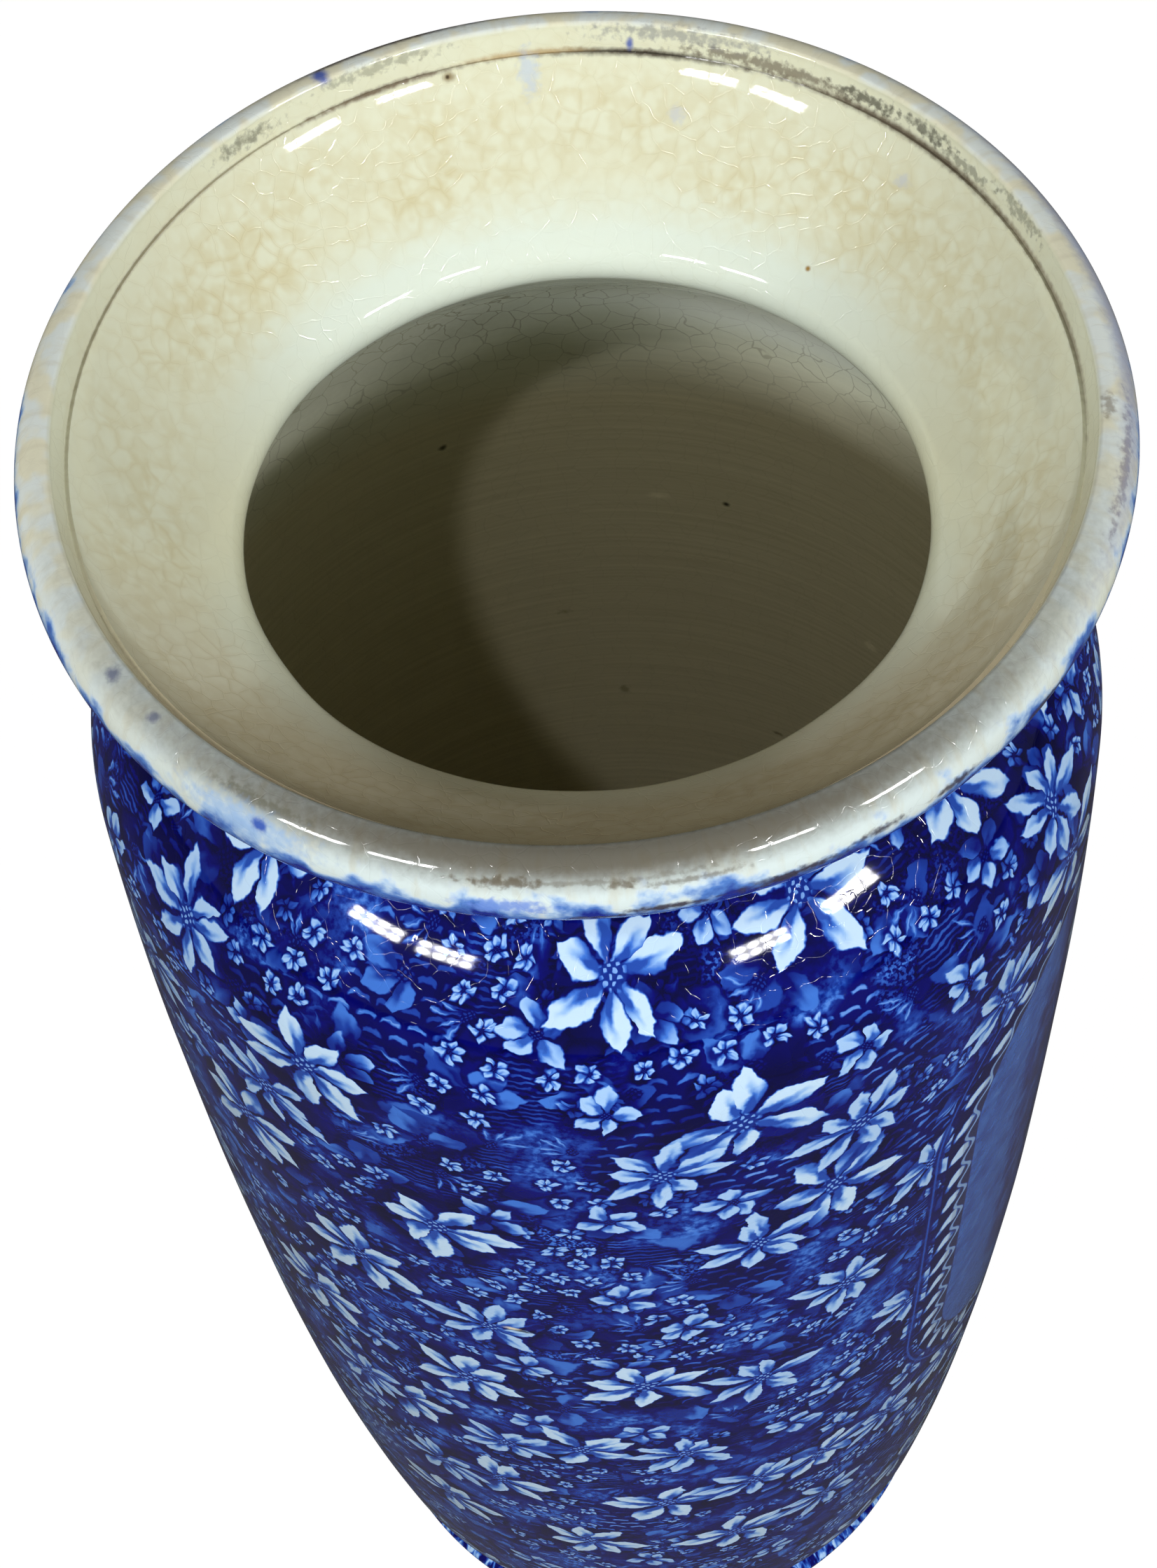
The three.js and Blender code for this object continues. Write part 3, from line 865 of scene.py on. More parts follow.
ONE_COLUMN = dict(Across=1000, Round=1, Stagger=0, Share=1, Seed=0)  # cells wider than the panel
PANEL_COLUMN = {**BLOSSOMS, **ONE_COLUMN, "Up": 31, "Loose": 0.004}
PANEL_LEAVES = {**LEAVES, **ONE_COLUMN, "Up": 15.5, "Loose": 0.012, "Reach": 11, "Kept": 5}
PANEL_LEAVES.update(Breadth=2, Dark=0.2, Pale=0.42)


def panel_tree():
    """The reserves with their rope border, laid over the blossom sheet."""
    tree, add, given = new_tree(
        "reserve in a rope border",
        "ShaderNodeTree",
        {"Tone": "Float", "Sheet": "Vector", "Clay": "Vector"},
        {"Tone": "Float", "Wash": "Float"},
    )
    sheet = add("SeparateXYZ", [(given, "Sheet")])
    clay = add("SeparateXYZ", [(given, "Clay")])
    turn = SHEET_ROUND / 2
    x = add("Math", [(sheet, "X"), turn * (1 + PANEL_AZIMUTH / 180)], "SUBTRACT")
    x = add("Math", [x, turn / 2, -turn / 2], "WRAP")
    y = add("Math", [(clay, "Z"), PANEL_HEIGHT], "SUBTRACT")
    # How far outside the border's middle line, and how far round along it
    flat = add("Math", [x], "ABSOLUTE")
    tall = add("Math", [y], "ABSOLUTE")
    past_x = add("Math", [flat, PANEL_HALF_WIDTH - PANEL_CORNER], "SUBTRACT")
    past_y = add("Math", [tall, PANEL_HALF_HEIGHT - PANEL_CORNER], "SUBTRACT")
    over_x = add("Math", [past_x, 0.0], "MAXIMUM")
    over_y = add("Math", [past_y, 0.0], "MAXIMUM")
    out = add("CombineXYZ", [over_x, over_y])
    out = add("VectorMath", [out], "LENGTH")
    within = add("Math", [past_x, past_y], "MAXIMUM")
    within = add("Math", [within, 0.0], "MINIMUM")
    out = add("Math", [(out, "Value"), within])
    out = add("Math", [out, PANEL_CORNER], "SUBTRACT")
    up = add("Math", [tall, PANEL_HALF_HEIGHT - PANEL_CORNER], "MINIMUM")
    bend = add("Math", [over_y, over_x], "ARCTAN2")
    bend = add("Math", [bend, PANEL_CORNER], "MULTIPLY")
    back = add("Math", [past_x, 0.0], "MINIMUM")
    run = add("Math", [up, bend])
    run = add("Math", [run, back], "SUBTRACT")
    hand = add("Math", [x, y], "MULTIPLY")
    hand = add("Math", [hand], "SIGN")
    run = add("Math", [run, hand], "MULTIPLY")
    # The washed panel, with a column of blossoms down its middle
    mottle = add("TexNoise", {"Vector": (given, "Clay"), "Scale": 1 / MOTTLE_LENGTH, "Detail": 5.0})
    wash = add("MapRange", [mottle, *NOISE, *WASH_TONES])
    deep = add("MapRange", [mottle, *DEEP_NOISE, *DEEP_TONES])
    inner = add("Math", [out, WASH_WIDTH])
    inner = add("Math", [mottle, WASH_RAGGED, inner], "MULTIPLY_ADD")
    inner = add("MapRange", [inner, *WASH_EDGE, 1.0, 0.0], "SMOOTHSTEP")
    wash = add("Mix", {"Factor": inner, "A": wash, "B": deep})
    middle = add("CombineXYZ", [x, y])
    middle = add("VectorMath", [middle, (PANEL_COLUMN["Across"] / 2, 0, 0)])
    for sizes in (PANEL_LEAVES, PANEL_COLUMN):
        wash = add("Group", dict(sizes, Tone=wash, Place=middle), node_tree=motifs)
    inside = add("MapRange", [out, -PANEL_SOFT, 0.0, 1.0, 0.0])
    tone = add("Mix", {"Factor": inside, "A": (given, "Tone"), "B": wash})
    # The rope: slanted strands on a dark band, a thread that joins them, and a thin rule outside
    beside = add("Math", [out], "ABSOLUTE")
    band = add("MapRange", [beside, ROPE_HALF_WIDTH, ROPE_HALF_WIDTH + BAND_SOFT, 1.0, 0.0])
    step = add("Math", [run, ROPE_PITCH / 2, -ROPE_PITCH / 2], "WRAP")
    bow = add("Math", [out, out], "MULTIPLY")
    bow = add("Math", [bow, STRAND_BOW, step], "MULTIPLY_ADD")
    outer = add("Math", [out, STRAND_OUT], "SUBTRACT")
    strand = add("CombineXYZ", [bow, outer])
    strand = add(
        "VectorRotate", {"Vector": strand, "Angle": math.radians(STRAND_SLANT)}, rotation_type="Z_AXIS"
    )
    strand = add("VectorMath", [strand, (1 / STRAND_HALF_WIDTH, 1 / STRAND_HALF_LENGTH, 1)], "MULTIPLY")
    strand = add("VectorMath", [strand], "LENGTH")
    ragged = add("Math", [mottle, STRAND_RAGGED, (strand, "Value")], "MULTIPLY_ADD")
    strand = add("MapRange", [ragged, *STRAND_EDGE, *STRAND_TONES])
    thread = add("Math", [step, math.tau / ROPE_PITCH, THREAD_START], "MULTIPLY_ADD")
    thread = add("Math", [thread], "SINE")
    thread = add("Math", [thread, THREAD_SWING, out], "MULTIPLY_ADD")
    thread = add("Math", [thread, THREAD_IN])
    thread = add("Math", [thread], "ABSOLUTE")
    thread = add("MapRange", [thread, *THREAD_HALF_WIDTH, THREAD_TONE, 0.0])
    strand = add("Math", [strand, thread], "MAXIMUM")
    tone = add("Mix", {"Factor": band, "A": tone, "B": strand})
    rule = add("Math", [out, RULE_OUT], "SUBTRACT")
    rule = add("Math", [rule], "ABSOLUTE")
    gap = add("MapRange", [rule, *RULE_GAP, RULE_GAP_STRENGTH, 0.0])
    tone = add("Mix", {"Factor": gap, "A": tone, "B": RULE_GAP_TONE})
    rule = add("MapRange", [rule, *RULE_HALF_WIDTH, RULE_STRENGTH, 0.0])
    tone = add("Mix", {"Factor": rule, "A": tone, "B": RULE_TONE})
    add("NodeGroupOutput", [tone, inside])
    return tree


panel = panel_tree()


MARK_GRAIN = 0.9  # millimetres
MARK_RAGGED = 6.0
MARK_EDGE = (0.2, 1.15)


def mark_tree():
    """How far an oval mark covers a point. The sheet is in degrees round the piece and
    millimetres along it. A broken mark is ragged and has gaps."""
    tree, add, given = new_tree(
        "mark",
        "ShaderNodeTree",
        {"Place": "Vector", "Grain": "Float", "Middle": "Vector", "Half": "Vector", "Broken": "Float"},
        {"Cover": "Float"},
    )
    off = add("VectorMath", [(given, "Place"), (given, "Middle")], "SUBTRACT")
    off = add("SeparateXYZ", [off])
    around = add("Math", [(off, "X"), 180.0, -180.0], "WRAP")
    off = add("CombineXYZ", [around, (off, "Y")])
    off = add("VectorMath", [off, (given, "Half")], "DIVIDE")
    off = add("VectorMath", [off], "LENGTH")
    ragged = add("Math", [(given, "Grain"), 0.5], "SUBTRACT")
    ragged = add("Math", [ragged, (given, "Broken")], "MULTIPLY")
    off = add("Math", [ragged, MARK_RAGGED, (off, "Value")], "MULTIPLY_ADD")
    cover = add("MapRange", [off, *MARK_EDGE, 1.0, 0.0], "SMOOTHSTEP")
    add("NodeGroupOutput", [cover])
    return tree


mark_cover = mark_tree()


def add_marks(add, base, along, clay, marks, start=0):
    """Lays marks over a colour. Each has its azimuth and how far it is along the profile from
    the start, its half sizes, its colour, how strong it is and how broken."""
    place = sheet_place(add, 360, along)
    place = add("VectorMath", [place, (180, 0, 0)], "SUBTRACT")
    grain = add("TexNoise", {"Vector": clay, "Scale": 1 / MARK_GRAIN, "Detail": 5.0})
    for azimuth, run, half_round, half_along, shade, strength, broken in marks:
        cover = add(
            "Group",
            [place, grain, (azimuth, start + run, 0), (half_round, half_along, 1), broken],
            node_tree=mark_cover,
        )
        cover = add("Math", [cover, strength], "MULTIPLY")
        base = add("Mix", {SHARE: cover, UNDER: base, OVER: colour(shade)}, data_type="RGBA")
        base = (base, MIXED)
    return base


# a greyer wash colour, partly painted sheen
SHEEN_GREY_WASH = "#4d5272"
# A small chip on the shoulder: a dark streak, and pale bare body beside it
CHIP = ((-15.2, 226.2, 2.2, 0.55, "#0b0b14", 0.95, 0.2), (-16.3, 226.6, 1.3, 0.6, "#e3dcc4", 1.0, 0.15))

# The print lies under clear glaze, so the blue is deep and glassy, and its flowers are
# the pale body showing through.
body_print, add = new_material("cobalt transfer print under glaze")
clay = clay_place(add)
sheet = sheet_place(add, SHEET_ROUND, body_length)
tone = add("Group", [sheet, clay], node_tree=blossom_sheet)
reserve = add("Group", [tone, sheet, clay], node_tree=panel)
blue = add("ValToRGB", [(reserve, "Tone")], stops=COBALT)
# The wash in the reserve is a thinner and greyer blue than the print, and its grey is partly painted sheen,
# the grey reflection that the glaze shows at a slant.
greyer = add("Math", [(reserve, "Wash"), WASH_GREY], "MULTIPLY")
blue = add("Mix", {SHARE: greyer, UNDER: blue, OVER: colour(SHEEN_GREY_WASH)}, data_type="RGBA")
along = add("SeparateXYZ", [sheet])
# Inside the foot ring the underside has glaze and no print.
under = run_length(body_bottom)
under = add("MapRange", [(along, "Y"), under - 1, under, 1.0, 0.0])
blue = add("Mix", {SHARE: under, UNDER: (blue, MIXED), OVER: colour(CREAM)}, data_type="RGBA")
blue = add_marks(add, (blue, MIXED), body_length, clay, CHIP)
craze = add("Group", {"Place": clay, "Cell": PRINT_CRAZE}, node_tree=crazed)
glazed(add, blue, craze)

# Lead glaze over buff clay. It is paler high up, near the throat, partly as painted light
# where the lamps shine in under the throat. Fine throwing lines run round it. The first three
# marks are painted light and shade below the shoulder, and the others are kiln grit and pits.
INSIDE_CRAZE = 3.6
LIGHT_FROM_HEIGHT = 232
LIGHT_HEIGHT = 256
CRACK_SEEN = (0.08, 0.6)  # low down and high up
LINES_ROUND = 9
LINE_PITCH = 0.8
BUFF_DARK = "#c6bc9a"
BUFF_LIGHT = "#d4caa8"
# paler glaze high up, partly painted light where the lamps shine in under the throat
BUFF_HIGH_AND_PAINTED_LIGHT = "#e2ead8"
CRACK_BROWN = "#7d775c"
INSIDE_PAINTED_LIGHT_AND_MARKS = (
    # painted light on the back wall under the throat at the right, and painted shade at the left and lower
    # down at the right
    (152, 347, 30, 8, "#f3f9ee", 0.8, 0.05),
    (-146, 348, 34, 11, "#a9a892", 0.6, 0.05),
    (127, 363, 17, 8, "#a39d84", 0.5, 0.05),
    (-161.5, 376.9, 0.8, 0.8, "#4a4232", 0.9, 0.1),
    (158.5, 395.3, 0.7, 0.7, "#2e281c", 0.9, 0.1),
    (168.4, 395.5, 2.0, 1.0, "#f2e8c8", 0.5, 0.1),
    (134.5, 416.6, 1.4, 1.2, "#f6eccc", 0.5, 0.3),
    (175.1, 449.4, 1.1, 1.4, "#8a7f60", 0.6, 0.3),
    (-176.5, 425.7, 1.4, 0.8, "#8a7f60", 0.5, 0.3),
    (150.0, 455.0, 1.0, 0.6, "#5a5038", 0.6, 0.3),
)
body_cream, add = new_material("lead glaze over buff clay")
clay = clay_place(add)
craze = add("Group", {"Place": clay, "Cell": INSIDE_CRAZE}, node_tree=crazed)
high = add("SeparateXYZ", [clay])
high = add("MapRange", [(high, "Z"), LIGHT_FROM_HEIGHT, LIGHT_HEIGHT])
line = add("MapRange", [high, 0.0, 1.0, *CRACK_SEEN])
line = add("Math", [(craze, "Crack"), line], "MULTIPLY")
turned = sheet_place(add, LINES_ROUND, body_length / LINE_PITCH)
turned = add("TexNoise", {"Vector": turned, "Scale": 1.0, "Detail": 3.0})
turned = add("MapRange", [turned, *NOISE])
ground = add("Mix", {SHARE: turned, UNDER: colour(BUFF_DARK), OVER: colour(BUFF_LIGHT)}, data_type="RGBA")
ground = add("Mix", {SHARE: high, UNDER: (ground, MIXED), OVER: colour(BUFF_HIGH_AND_PAINTED_LIGHT)}, data_type="RGBA")
base = add("Mix", {SHARE: line, UNDER: (ground, MIXED), OVER: colour(CRACK_BROWN)}, data_type="RGBA")
base = add_marks(add, (base, MIXED), body_length, clay, INSIDE_PAINTED_LIGHT_AND_MARKS)
glazed(add, base, craze)

body = turn_piece("printed_body", body_outside, body_inside, body_print, body_cream)
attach(body, "root")
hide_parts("body")

# Mouth
# A flared mouth with a rolled lip, thrown apart and luted onto the neck. It is glazed
# cream and finely crazed, the blue of the print has run onto the outer edge of the lip,
# and what is left of a gilt line is dark in the groove inside the lip.
LIP_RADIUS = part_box("mouth")[1].x / MM
CREST_HEIGHT = crest / MM
LIP_ROLL_WIDTH = 4.2
LIP_ROLL_DROP = 5.4
LIP_FLAT = 0.2
LIP_INNER_ROUND = 0.6
GROOVE_WIDTH = 1
GROOVE_DROP = 3.5
GROOVE_BACK_WIDTH = 0.5
GROOVE_BACK_RISE = 0.25
GROOVE_STEP = 0.4
LIP_UNDERSIDE_ANGLE = -60
FLARE_START_HANDLE = 9
FLARE_END_HANDLE = 7
DISH_START_ANGLE = 135
DISH_START_HANDLE = 6
DISH_END_HANDLE = 5
DISH_END_SLOPE = 62

roll_centre = (LIP_RADIUS - LIP_ROLL_WIDTH, CREST_HEIGHT - LIP_ROLL_DROP)
lip_run = arc(roll_centre, LIP_ROLL_WIDTH, LIP_ROLL_DROP, LIP_UNDERSIDE_ANGLE, 90, steps=48)
under = math.radians(LIP_UNDERSIDE_ANGLE)
under_heading = Vector((-LIP_ROLL_WIDTH * math.sin(under), LIP_ROLL_DROP * math.cos(under))).normalized()
flare_run = flowing(
    (NECK_RADIUS, NECK_JOINT_HEIGHT),
    heading(90),
    FLARE_START_HANDLE,
    lip_run[0],
    under_heading,
    FLARE_END_HANDLE,
    steps=30,
)
inner_round_centre = (roll_centre[0] - LIP_FLAT, CREST_HEIGHT - LIP_INNER_ROUND)
lip_inner_run = arc(inner_round_centre, LIP_INNER_ROUND, LIP_INNER_ROUND, 90, 180, steps=8)
groove = (inner_round_centre[0] - LIP_INNER_ROUND - GROOVE_WIDTH, CREST_HEIGHT - GROOVE_DROP)
dish_edge = (groove[0] - GROOVE_BACK_WIDTH, groove[1] + GROOVE_BACK_RISE)
throat_run = arc(throat_centre, THROAT_ROUND, THROAT_ROUND, DISH_START_ANGLE, undercut + 180, steps=20)
dish_run = flowing(
    dish_edge,
    heading(DISH_END_SLOPE + 180),
    DISH_END_HANDLE,
    throat_run[0],
    heading(DISH_START_ANGLE + 90),
    DISH_START_HANDLE,
    steps=60,
)
mouth_outside = flare_run
mouth_inside = (
    lip_run
    + lip_inner_run
    + straight(lip_inner_run[-1], groove, GROOVE_STEP)
    + dish_run
    + throat_run
    + straight(throat_run[-1], neck_bore)
    + straight(neck_bore, (NECK_RADIUS, NECK_JOINT_HEIGHT))
)
mouth_length = run_length(mouth_outside + mouth_inside)

# The same print under glaze, carried up the flare to the lip
flare_print, add = new_material("cobalt transfer print on the flare")
clay = clay_place(add)
sheet = sheet_place(add, SHEET_ROUND, mouth_length)
tone = add("Group", [sheet, clay], node_tree=blossom_sheet)
blue = add("ValToRGB", [tone], stops=COBALT)
craze = add("Group", {"Place": clay, "Cell": PRINT_CRAZE}, node_tree=crazed)
glazed(add, blue, craze)

# Where the runs of the mouth's profile start, in millimetres along it
lip_start = run_length(flare_run)
crest_at = run_length(flare_run + lip_run)
groove_at = run_length(flare_run + lip_run + lip_inner_run + [groove])
throat_at = run_length(flare_run + lip_run + lip_inner_run + [groove] + dish_run)

# What lies on the lip and the dish, measured from the groove: first grey-brown painted
# shade on the inner half of the front lip, then what time and the decorator left: what is left
# of the gilt line, stains beside it, runs of blue, and pits and specks.
GILT = "#3b2f26"
DIRT = "#7b6c54"
GREY = "#6b6a5c"
RUN_BLUE = "#2a4fb0"
WASH_BLUE = "#9cbbdf"
OLD_STAIN = "#5f5442"
SPECK_BLUE = "#5a607c"
DARK_LIP_EDGE = "#3c3542"
PALE_BLUE = "#bcc4d4"
MOUTH_PAINTED_SHADE_AND_MARKS = (
    # painted shade on the inner half of the front lip, which faces away from the lamps
    (0, -5.2, 80, 4.2, "#574d3a", 0.9, 0.04),
    (168, 0.3, 22, 0.9, GILT, 0.95, 0.12),
    (130, 0.1, 28, 1.0, "#5a4b3b", 0.9, 0.12),
    (100, 0, 24, 0.8, DIRT, 0.65, 0.15),
    (-178, 0, 10, 0.8, "#bfa97c", 0.8, 0.1),
    (-160, 0.4, 16, 0.75, "#665240", 0.9, 0.15),
    (-125, 0.3, 38, 0.55, "#86735a", 0.65, 0.12),
    (-85, 0.3, 34, 0.4, "#a5987c", 0.35, 0.15),
    (150, -1.0, 14, 1.1, "#5a4b3c", 0.7, 0.45),
    (138, -1.5, 5, 1.0, GREY, 0.9, 0.5),
    (129, -2.0, 5, 1.0, GREY, 0.85, 0.5),
    (123, -1.4, 6, 0.8, GREY, 0.6, 0.6),
    (112, -2.4, 5, 1.0, GREY, 0.55, 0.6),
    (-141, -1.8, 5, 1.1, GREY, 0.7, 0.5),
    (-160, -2.7, 8, 0.9, GREY, 0.45, 0.6),
    (163, -2.7, 11, 1.2, "#85878a", 0.6, 0.5),
    (-153, -4.7, 1.3, 1.9, RUN_BLUE, 0.9, 0.1),
    (-162, -6.2, 16, 1.0, "#43363a", 0.85, 0.15),
    (82, -4.4, 1.8, 1.0, DIRT, 0.6, 0.4),
    (75, -7.0, 9, 0.9, "#86766a", 0.7, 0.5),
    (105, -7.9, 55, 2.7, "#8790b0", 0.75, 0.08),
    (-10, -7.9, 4, 0.8, OLD_STAIN, 0.7, 0.5),
    (1, -8.3, 2, 0.6, OLD_STAIN, 0.7, 0.4),
    (8, -8.7, 6, 0.5, OLD_STAIN, 0.6, 0.4),
    (-3, -7.8, 14, 0.4, OLD_STAIN, 0.4, 0.4),
    (-57, -5.3, 1.1, 1.2, SPECK_BLUE, 0.8, 0.2),
    (-50, -5.3, 0.9, 0.9, SPECK_BLUE, 0.7, 0.2),
    (-35.5, -6.1, 5.5, 0.9, GREY, 0.75, 0.4),
    (-36, -9.2, 9, 2.6, WASH_BLUE, 0.8, 0.25),
    (-34.4, -8.6, 1.1, 1.1, RUN_BLUE, 0.9, 0.2),
    (-9.6, -11.2, 5, 1.5, "#6d90dc", 0.85, 0.35),
    # dark patches along the lower edge of the lip at the front
    (5, -12.6, 5, 0.9, DARK_LIP_EDGE, 0.95, 0.3),
    (-1, -13.7, 5, 0.7, DARK_LIP_EDGE, 0.9, 0.3),
    (17, -12.3, 7, 1.1, DARK_LIP_EDGE, 0.95, 0.3),
    (26, -11.3, 3.5, 0.8, DARK_LIP_EDGE, 0.9, 0.3),
    (35, -11.5, 3, 0.9, DARK_LIP_EDGE, 0.9, 0.3),
    (48, -12.6, 3.5, 1.0, DARK_LIP_EDGE, 0.9, 0.3),
    (-168.2, 1.5, 1.0, 0.8, "#8a7650", 0.85, 0.1),
    (-168.0, 1.5, 0.35, 0.35, "#3a2c1c", 0.9, 0.0),
    (-178.3, 2.5, 1.6, 3.6, "#b9c8dc", 0.6, 0.3),
    (169, -1.0, 0.6, 1.0, "#4a60ac", 0.9, 0.1),
    (136.3, 20.2, 0.6, 0.45, "#96701f", 0.95, 0.0),
    (162, 7.4, 1.4, 1.3, PALE_BLUE, 0.5, 0.3),
    (129, 5.3, 1.4, 1.0, PALE_BLUE, 0.5, 0.3),
)

MOUTH_CRAZE = 2.7
# The stain in the dish, in millimetres from the groove and back from the throat
STAIN_START = 0.5
STAIN_FULL = 7
STAIN_RANGE = (0.25, 0.9)
WHITE_START = 9
WHITE_FULL = 2
STAIN_AT_THROAT = 0.08
CRACK_STAIN = 0.5
BLOTCH_LENGTH = 2
BLOTCH_NOISE = (0.33, 0.7)
BLOTCH_STRENGTH = 0.56
STAIN_DRIFT_LENGTH = 16
STAIN_DRIFT_NOISE = (0.35, 0.6)
STAIN_DRIFT_LEAST = 0.35
SIDE_REACH = 0.4
SIDE_STRENGTH = 0.8
LIP_PATCH_LENGTH = 5
LIP_PATCH_NOISE = (0.42, 0.58)
LIP_CRACK_SCALES = (0.62, 0.16, 1)  # of the noise, in a degree round the lip and a millimetre across it
LIP_CRACK_NOISE = (0.5, 0.68)
LIP_CRACK_STRENGTH = 0.35
LIP_EDGE = (0.4, 1.2)  # millimetres in from the crest
# How far up the lip the blue has run, and how ragged its edge is
RUN_UP_BACK = 10
RUN_UP_FRONT = 7
BLEED_PER_MM = 0.24
BLOT_LENGTH = 5
BLOT_STRENGTH = 3.2
BLEED_EDGE = 0.35
BLEED = ((0.0, "#dbe6ee"), (0.3, "#b0cbe6"), (0.6, "#5480c8"), (1.0, "#14278c"))
# The cream glaze at the back of the dish and at its front, which painted shade makes browner
DISH_BACK = "#dfe1c7"
DISH_FRONT_PAINTED_SHADE = "#cfc0a0"
THROAT_BACK = "#dde7d9"
THROAT_FRONT_PAINTED_SHADE = "#d0c8ad"
THROAT_SIDE = "#dedcba"
STAIN_BACK = "#cfc69b"
STAIN_FRONT_PAINTED_SHADE = "#bda985"
LIP_CREAM = "#e2dfc4"
LIP_WHITE = "#dfe6e0"
LIP_FRONT = "#d5e3e2"
LIP_CRACK = "#c8c2a6"

# Glassy lead glaze over the cream body, finely crazed, with brown stain along the cracks
mouth_cream, add = new_material("crazed cream glaze")
clay = clay_place(add)
sheet = sheet_place(add, 360, mouth_length)
along = add("SeparateXYZ", [sheet])
craze = add("Group", {"Place": clay, "Cell": MOUTH_CRAZE}, node_tree=crazed)
# The stain is strongest in the middle of the dish, and the glaze is thick and nearly
# white where it has gathered round the throat.
stained = [(along, "Y"), groove_at + STAIN_START, groove_at + STAIN_FULL, *STAIN_RANGE]
stained = add("MapRange", stained)
clean = [(along, "Y"), throat_at - WHITE_START, throat_at - WHITE_FULL, 1.0, STAIN_AT_THROAT]
clean = add("MapRange", clean)
stained = add("Math", [stained, clean], "MULTIPLY")
blotch = add("TexNoise", {"Vector": clay, "Scale": 1 / BLOTCH_LENGTH, "Detail": 1.0})
blotch = add("MapRange", [blotch, *BLOTCH_NOISE, BLOTCH_STRENGTH, 0.0], "SMOOTHSTEP")
drift = add("TexNoise", {"Vector": clay, "Scale": 1 / STAIN_DRIFT_LENGTH, "Detail": 1.0})
drift = add("MapRange", [drift, *STAIN_DRIFT_NOISE, STAIN_DRIFT_LEAST, 1.0])
blotch = add("Math", [blotch, drift], "MULTIPLY")
stain = add("Math", [(craze, "Stain"), CRACK_STAIN, blotch], "MULTIPLY_ADD")
stain = add("Math", [stain, stained], "MULTIPLY")
# 1 at the front of the vase and 0 at its back
front = add("Math", [(along, "X"), math.radians(1), math.pi], "MULTIPLY_ADD")
front = add("Math", [front], "COSINE")
front = add("MapRange", [front, -1.0, 1.0])
white = add("MapRange", [clean, STAIN_AT_THROAT, 1.0, 1.0, 0.0])
near = add("MapRange", [front, 0.5, 1.0], "SMOOTHSTEP")
# the front of the dish faces away from the lamps, and painted shade makes it browner there
yellow = add("Mix", {SHARE: near, UNDER: colour(DISH_BACK), OVER: colour(DISH_FRONT_PAINTED_SHADE)}, data_type="RGBA")
pale = add("Mix", {SHARE: near, UNDER: colour(THROAT_BACK), OVER: colour(THROAT_FRONT_PAINTED_SHADE)}, data_type="RGBA")
side = add("Math", [front, 0.5], "SUBTRACT")
side = add("Math", [side], "ABSOLUTE")
side = add("MapRange", [side, 0.0, SIDE_REACH, SIDE_STRENGTH, 0.0], "SMOOTHSTEP")
pale = add("Mix", {SHARE: side, UNDER: (pale, MIXED), OVER: colour(THROAT_SIDE)}, data_type="RGBA")
ground = add("Mix", {SHARE: white, UNDER: (yellow, MIXED), OVER: (pale, MIXED)}, data_type="RGBA")
# the stain is browner at the front as painted shade too
stain_colour = add(
    "Mix", {SHARE: near, UNDER: colour(STAIN_BACK), OVER: colour(STAIN_FRONT_PAINTED_SHADE)}, data_type="RGBA"
)
base = add("Mix", {SHARE: stain, UNDER: (ground, MIXED), OVER: (stain_colour, MIXED)}, data_type="RGBA")
# Short stained cracks across the roll of the lip
across = add("VectorMath", [sheet, LIP_CRACK_SCALES], "MULTIPLY")
across = add("TexNoise", {"Vector": across, "Scale": 1.0, "Detail": 3.0})
across = add("MapRange", [across, *LIP_CRACK_NOISE, 0.0, LIP_CRACK_STRENGTH])
on_lip = add("MapRange", [(along, "Y"), crest_at + LIP_EDGE[0], crest_at + LIP_EDGE[1], 1.0, 0.0])
lip = add("TexNoise", {"Vector": clay, "Scale": 1 / LIP_PATCH_LENGTH, "Detail": 2.0})
lip = add("MapRange", [lip, *LIP_PATCH_NOISE], "SMOOTHSTEP")
lip = add("Mix", {SHARE: lip, UNDER: colour(LIP_CREAM), OVER: colour(LIP_WHITE)}, data_type="RGBA")
lip = add("Mix", {SHARE: near, UNDER: (lip, MIXED), OVER: colour(LIP_FRONT)}, data_type="RGBA")
lip = add("Mix", {SHARE: across, UNDER: (lip, MIXED), OVER: colour(LIP_CRACK)}, data_type="RGBA")
base = add("Mix", {SHARE: on_lip, UNDER: (base, MIXED), OVER: (lip, MIXED)}, data_type="RGBA")
# The blue has run up onto the outside of the lip
blot = add("TexNoise", {"Vector": clay, "Scale": 1 / BLOT_LENGTH, "Detail": 4.0})
run_up = add("MapRange", [front, 0.0, 1.0, lip_start + RUN_UP_BACK, lip_start + RUN_UP_FRONT])
bleed = add("Math", [run_up, (along, "Y")], "SUBTRACT")
bleed = add("Math", [bleed, BLEED_PER_MM], "MULTIPLY")
blot = add("Math", [blot, 0.5], "SUBTRACT")
bleed = add("Math", [blot, BLOT_STRENGTH, bleed], "MULTIPLY_ADD")
cover = add("MapRange", [bleed, 0.0, BLEED_EDGE], "SMOOTHSTEP")
run_blue = add("ValToRGB", [bleed], stops=BLEED)
base = add("Mix", {SHARE: cover, UNDER: (base, MIXED), OVER: run_blue}, data_type="RGBA")
base = add_marks(add, (base, MIXED), mouth_length, clay, MOUTH_PAINTED_SHADE_AND_MARKS, groove_at)
glazed(add, base, craze)

mouth = turn_piece("cream_mouth", mouth_outside, mouth_inside, flare_print, mouth_cream)
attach(mouth, "root")
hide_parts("mouth")

# The studio
# A plain pale floor, which the camera sees as pure white. In the glaze it is as dim as
# the room round the real vase.
FLOOR_REACH = 3
ROOM_LIGHT = 0.09
ROOM_SEEN_IN_GLAZE = 0.13
WHITE_SHARE = 0.95
FLOOR_WHITE = 1.04
FLOOR_COLOUR = "#d6d4d0"
FLOOR_IN_GLAZE = "#5a5750"

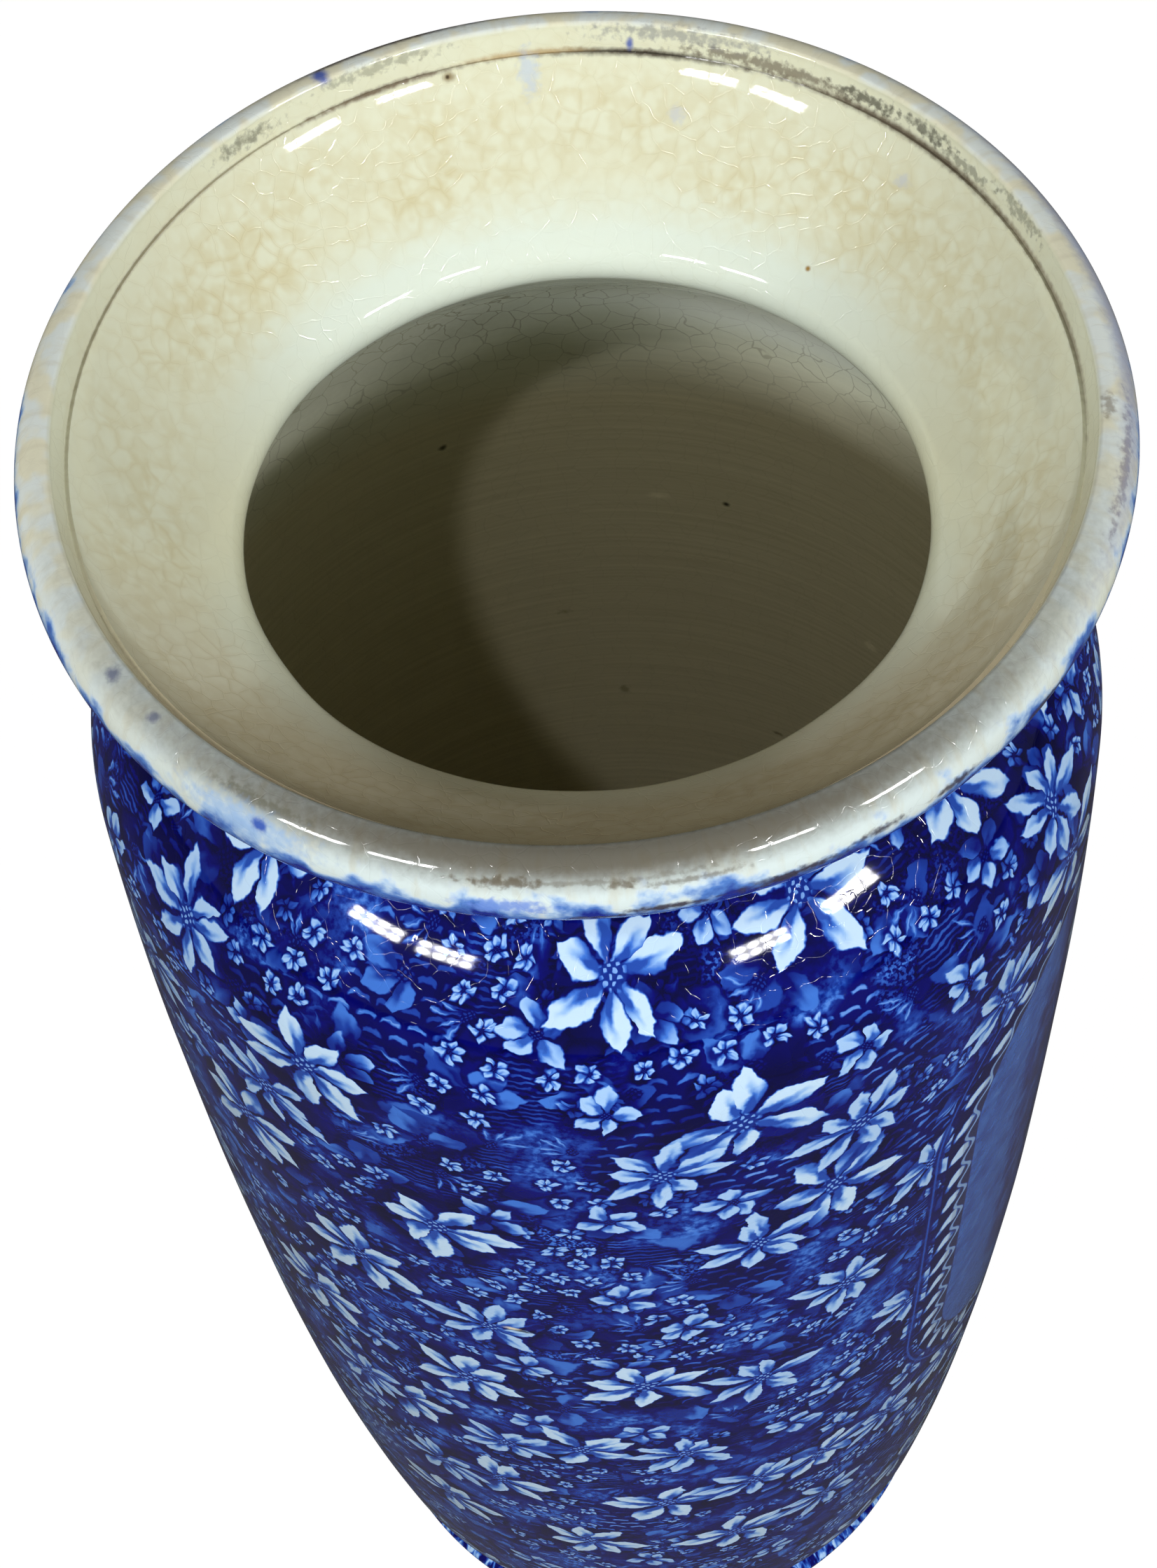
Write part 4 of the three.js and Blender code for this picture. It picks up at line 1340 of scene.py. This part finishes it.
floor_mesh = bpy.data.meshes.new("floor")
corners = [(-FLOOR_REACH, -FLOOR_REACH, 0), (FLOOR_REACH, -FLOOR_REACH, 0)]
corners += [(FLOOR_REACH, FLOOR_REACH, 0), (-FLOOR_REACH, FLOOR_REACH, 0)]
floor_mesh.from_pydata(corners, [], [(0, 1, 2, 3)])
floor = bpy.data.objects.new("floor", floor_mesh)
bpy.context.scene.collection.objects.link(floor)
# Matt pale paint, with a glow that makes it pure white to the camera
floor_paint, add = new_material("pale floor paint")
ray = add("LightPath")
seen = add("Math", [(ray, "Is Camera Ray"), (ray, "Is Transmission Ray")], "MAXIMUM")
seen = add("Math", [seen, WHITE_SHARE], "MULTIPLY")
glossy = (ray, "Is Glossy Ray")
paint = add(
    "Mix", {SHARE: glossy, UNDER: colour(FLOOR_COLOUR), OVER: colour(FLOOR_IN_GLAZE)}, data_type="RGBA"
)
diffuse = add("BsdfDiffuse", [(paint, MIXED)])
white = add("Emission", [colour("#ffffff"), FLOOR_WHITE])
both = add("MixShader", [seen, diffuse, white])
add("OutputMaterial", [both])
floor_mesh.materials.append(floor_paint)

world = bpy.data.worlds.new("studio")
bpy.context.scene.world = world
world.use_nodes = True
world.node_tree.nodes.clear()
add = adder(world.node_tree)
ray = add("LightPath")
seen = add("Math", [(ray, "Is Camera Ray"), (ray, "Is Transmission Ray")], "MAXIMUM")
dim = add("MapRange", [(ray, "Is Glossy Ray"), 0.0, 1.0, ROOM_LIGHT, ROOM_SEEN_IN_GLAZE])
strength = add("Mix", {"Factor": seen, "A": dim, "B": 1.0})
background = add("Background", [colour("#ffffff"), strength])
add("OutputWorld", [background])
bpy.context.scene.view_settings.view_transform = "Standard"

# Lamps. Four lamps in pairs stand before the vase and make the highlights, each with two
# rows of bulbs. One small lamp above the camera throws the pool of light down inside, and
# two low lamps light the back of the vase.
LAMP_DISTANCE = 2.0
LAMP_WIDTH = 0.38
LAMP_HEIGHT = 0.22
LAMPS = {
    "lamp_left": (-51, 28, 11),
    "lamp_left_front": (-35, 28, 8.6),
    "lamp_right_front": (29, 25, 9),
    "lamp_right": (50, 25, 16),
}
BULBS_ACROSS = 4
BULB_ROWS = 2
BULB_EDGE = (0.3, 0.45)  # as shares of the way from bulb to bulb
BULB_PEAK = 2.0  # how much brighter a bulb is than the lamp's mean
BULB_GAP = 0.3
LAMPS_BEHIND = {"lamp_behind_left": -135, "lamp_behind_right": 135}
BEHIND_ELEVATION = -5
BEHIND_POWER = 14
KEY_AZIMUTH = -27.1
KEY_ELEVATION = 59.8
KEY_DISTANCE = 1.05
KEY_SIZE = 0.04
KEY_POWER = 2.0


def lamp(name, azimuth, elevation, distance, width, height, power):
    data = bpy.data.lights.new(name, "AREA")
    data.shape = "RECTANGLE"
    data.size = width
    data.size_y = height
    data.energy = power
    light = bpy.data.objects.new(name, data)
    a, e = math.radians(azimuth), math.radians(elevation)
    aim = Vector((0, 0, crest))
    away = Vector((math.sin(a) * math.cos(e), -math.cos(a) * math.cos(e), math.sin(e)))
    turn = away.to_track_quat("Z", "Y").to_matrix().to_4x4()
    light.matrix_world = Matrix.Translation(aim + away * distance) @ turn
    bpy.context.scene.collection.objects.link(light)
    return light


for name, (azimuth, elevation, power) in LAMPS.items():
    front_lamp = lamp(name, azimuth, elevation, LAMP_DISTANCE, LAMP_WIDTH, LAMP_HEIGHT, power)
    front_lamp.data.use_nodes = True
    front_lamp.data.node_tree.nodes.clear()
    add = adder(front_lamp.data.node_tree)
    spot = add("NewGeometry")
    spot = add("VectorMath", [(spot, "Parametric"), (BULBS_ACROSS, BULB_ROWS, 0)], "MULTIPLY")
    spot = add("VectorMath", [spot], "FRACTION")
    spot = add("VectorMath", [spot, (0.5, 0.5, 0)], "SUBTRACT")
    spot = add("VectorMath", [spot], "LENGTH")
    spot = add("MapRange", [(spot, "Value"), *BULB_EDGE, BULB_PEAK, BULB_GAP])
    shine = add("Emission", [colour("#ffffff"), spot])
    add("OutputLight", [shine])
for name, azimuth in LAMPS_BEHIND.items():
    behind = lamp(name, azimuth, BEHIND_ELEVATION, LAMP_DISTANCE, LAMP_WIDTH, LAMP_HEIGHT, BEHIND_POWER)
    behind.visible_glossy = False
key = lamp("key", KEY_AZIMUTH, KEY_ELEVATION, KEY_DISTANCE, KEY_SIZE, KEY_SIZE, KEY_POWER)
key.visible_glossy = False
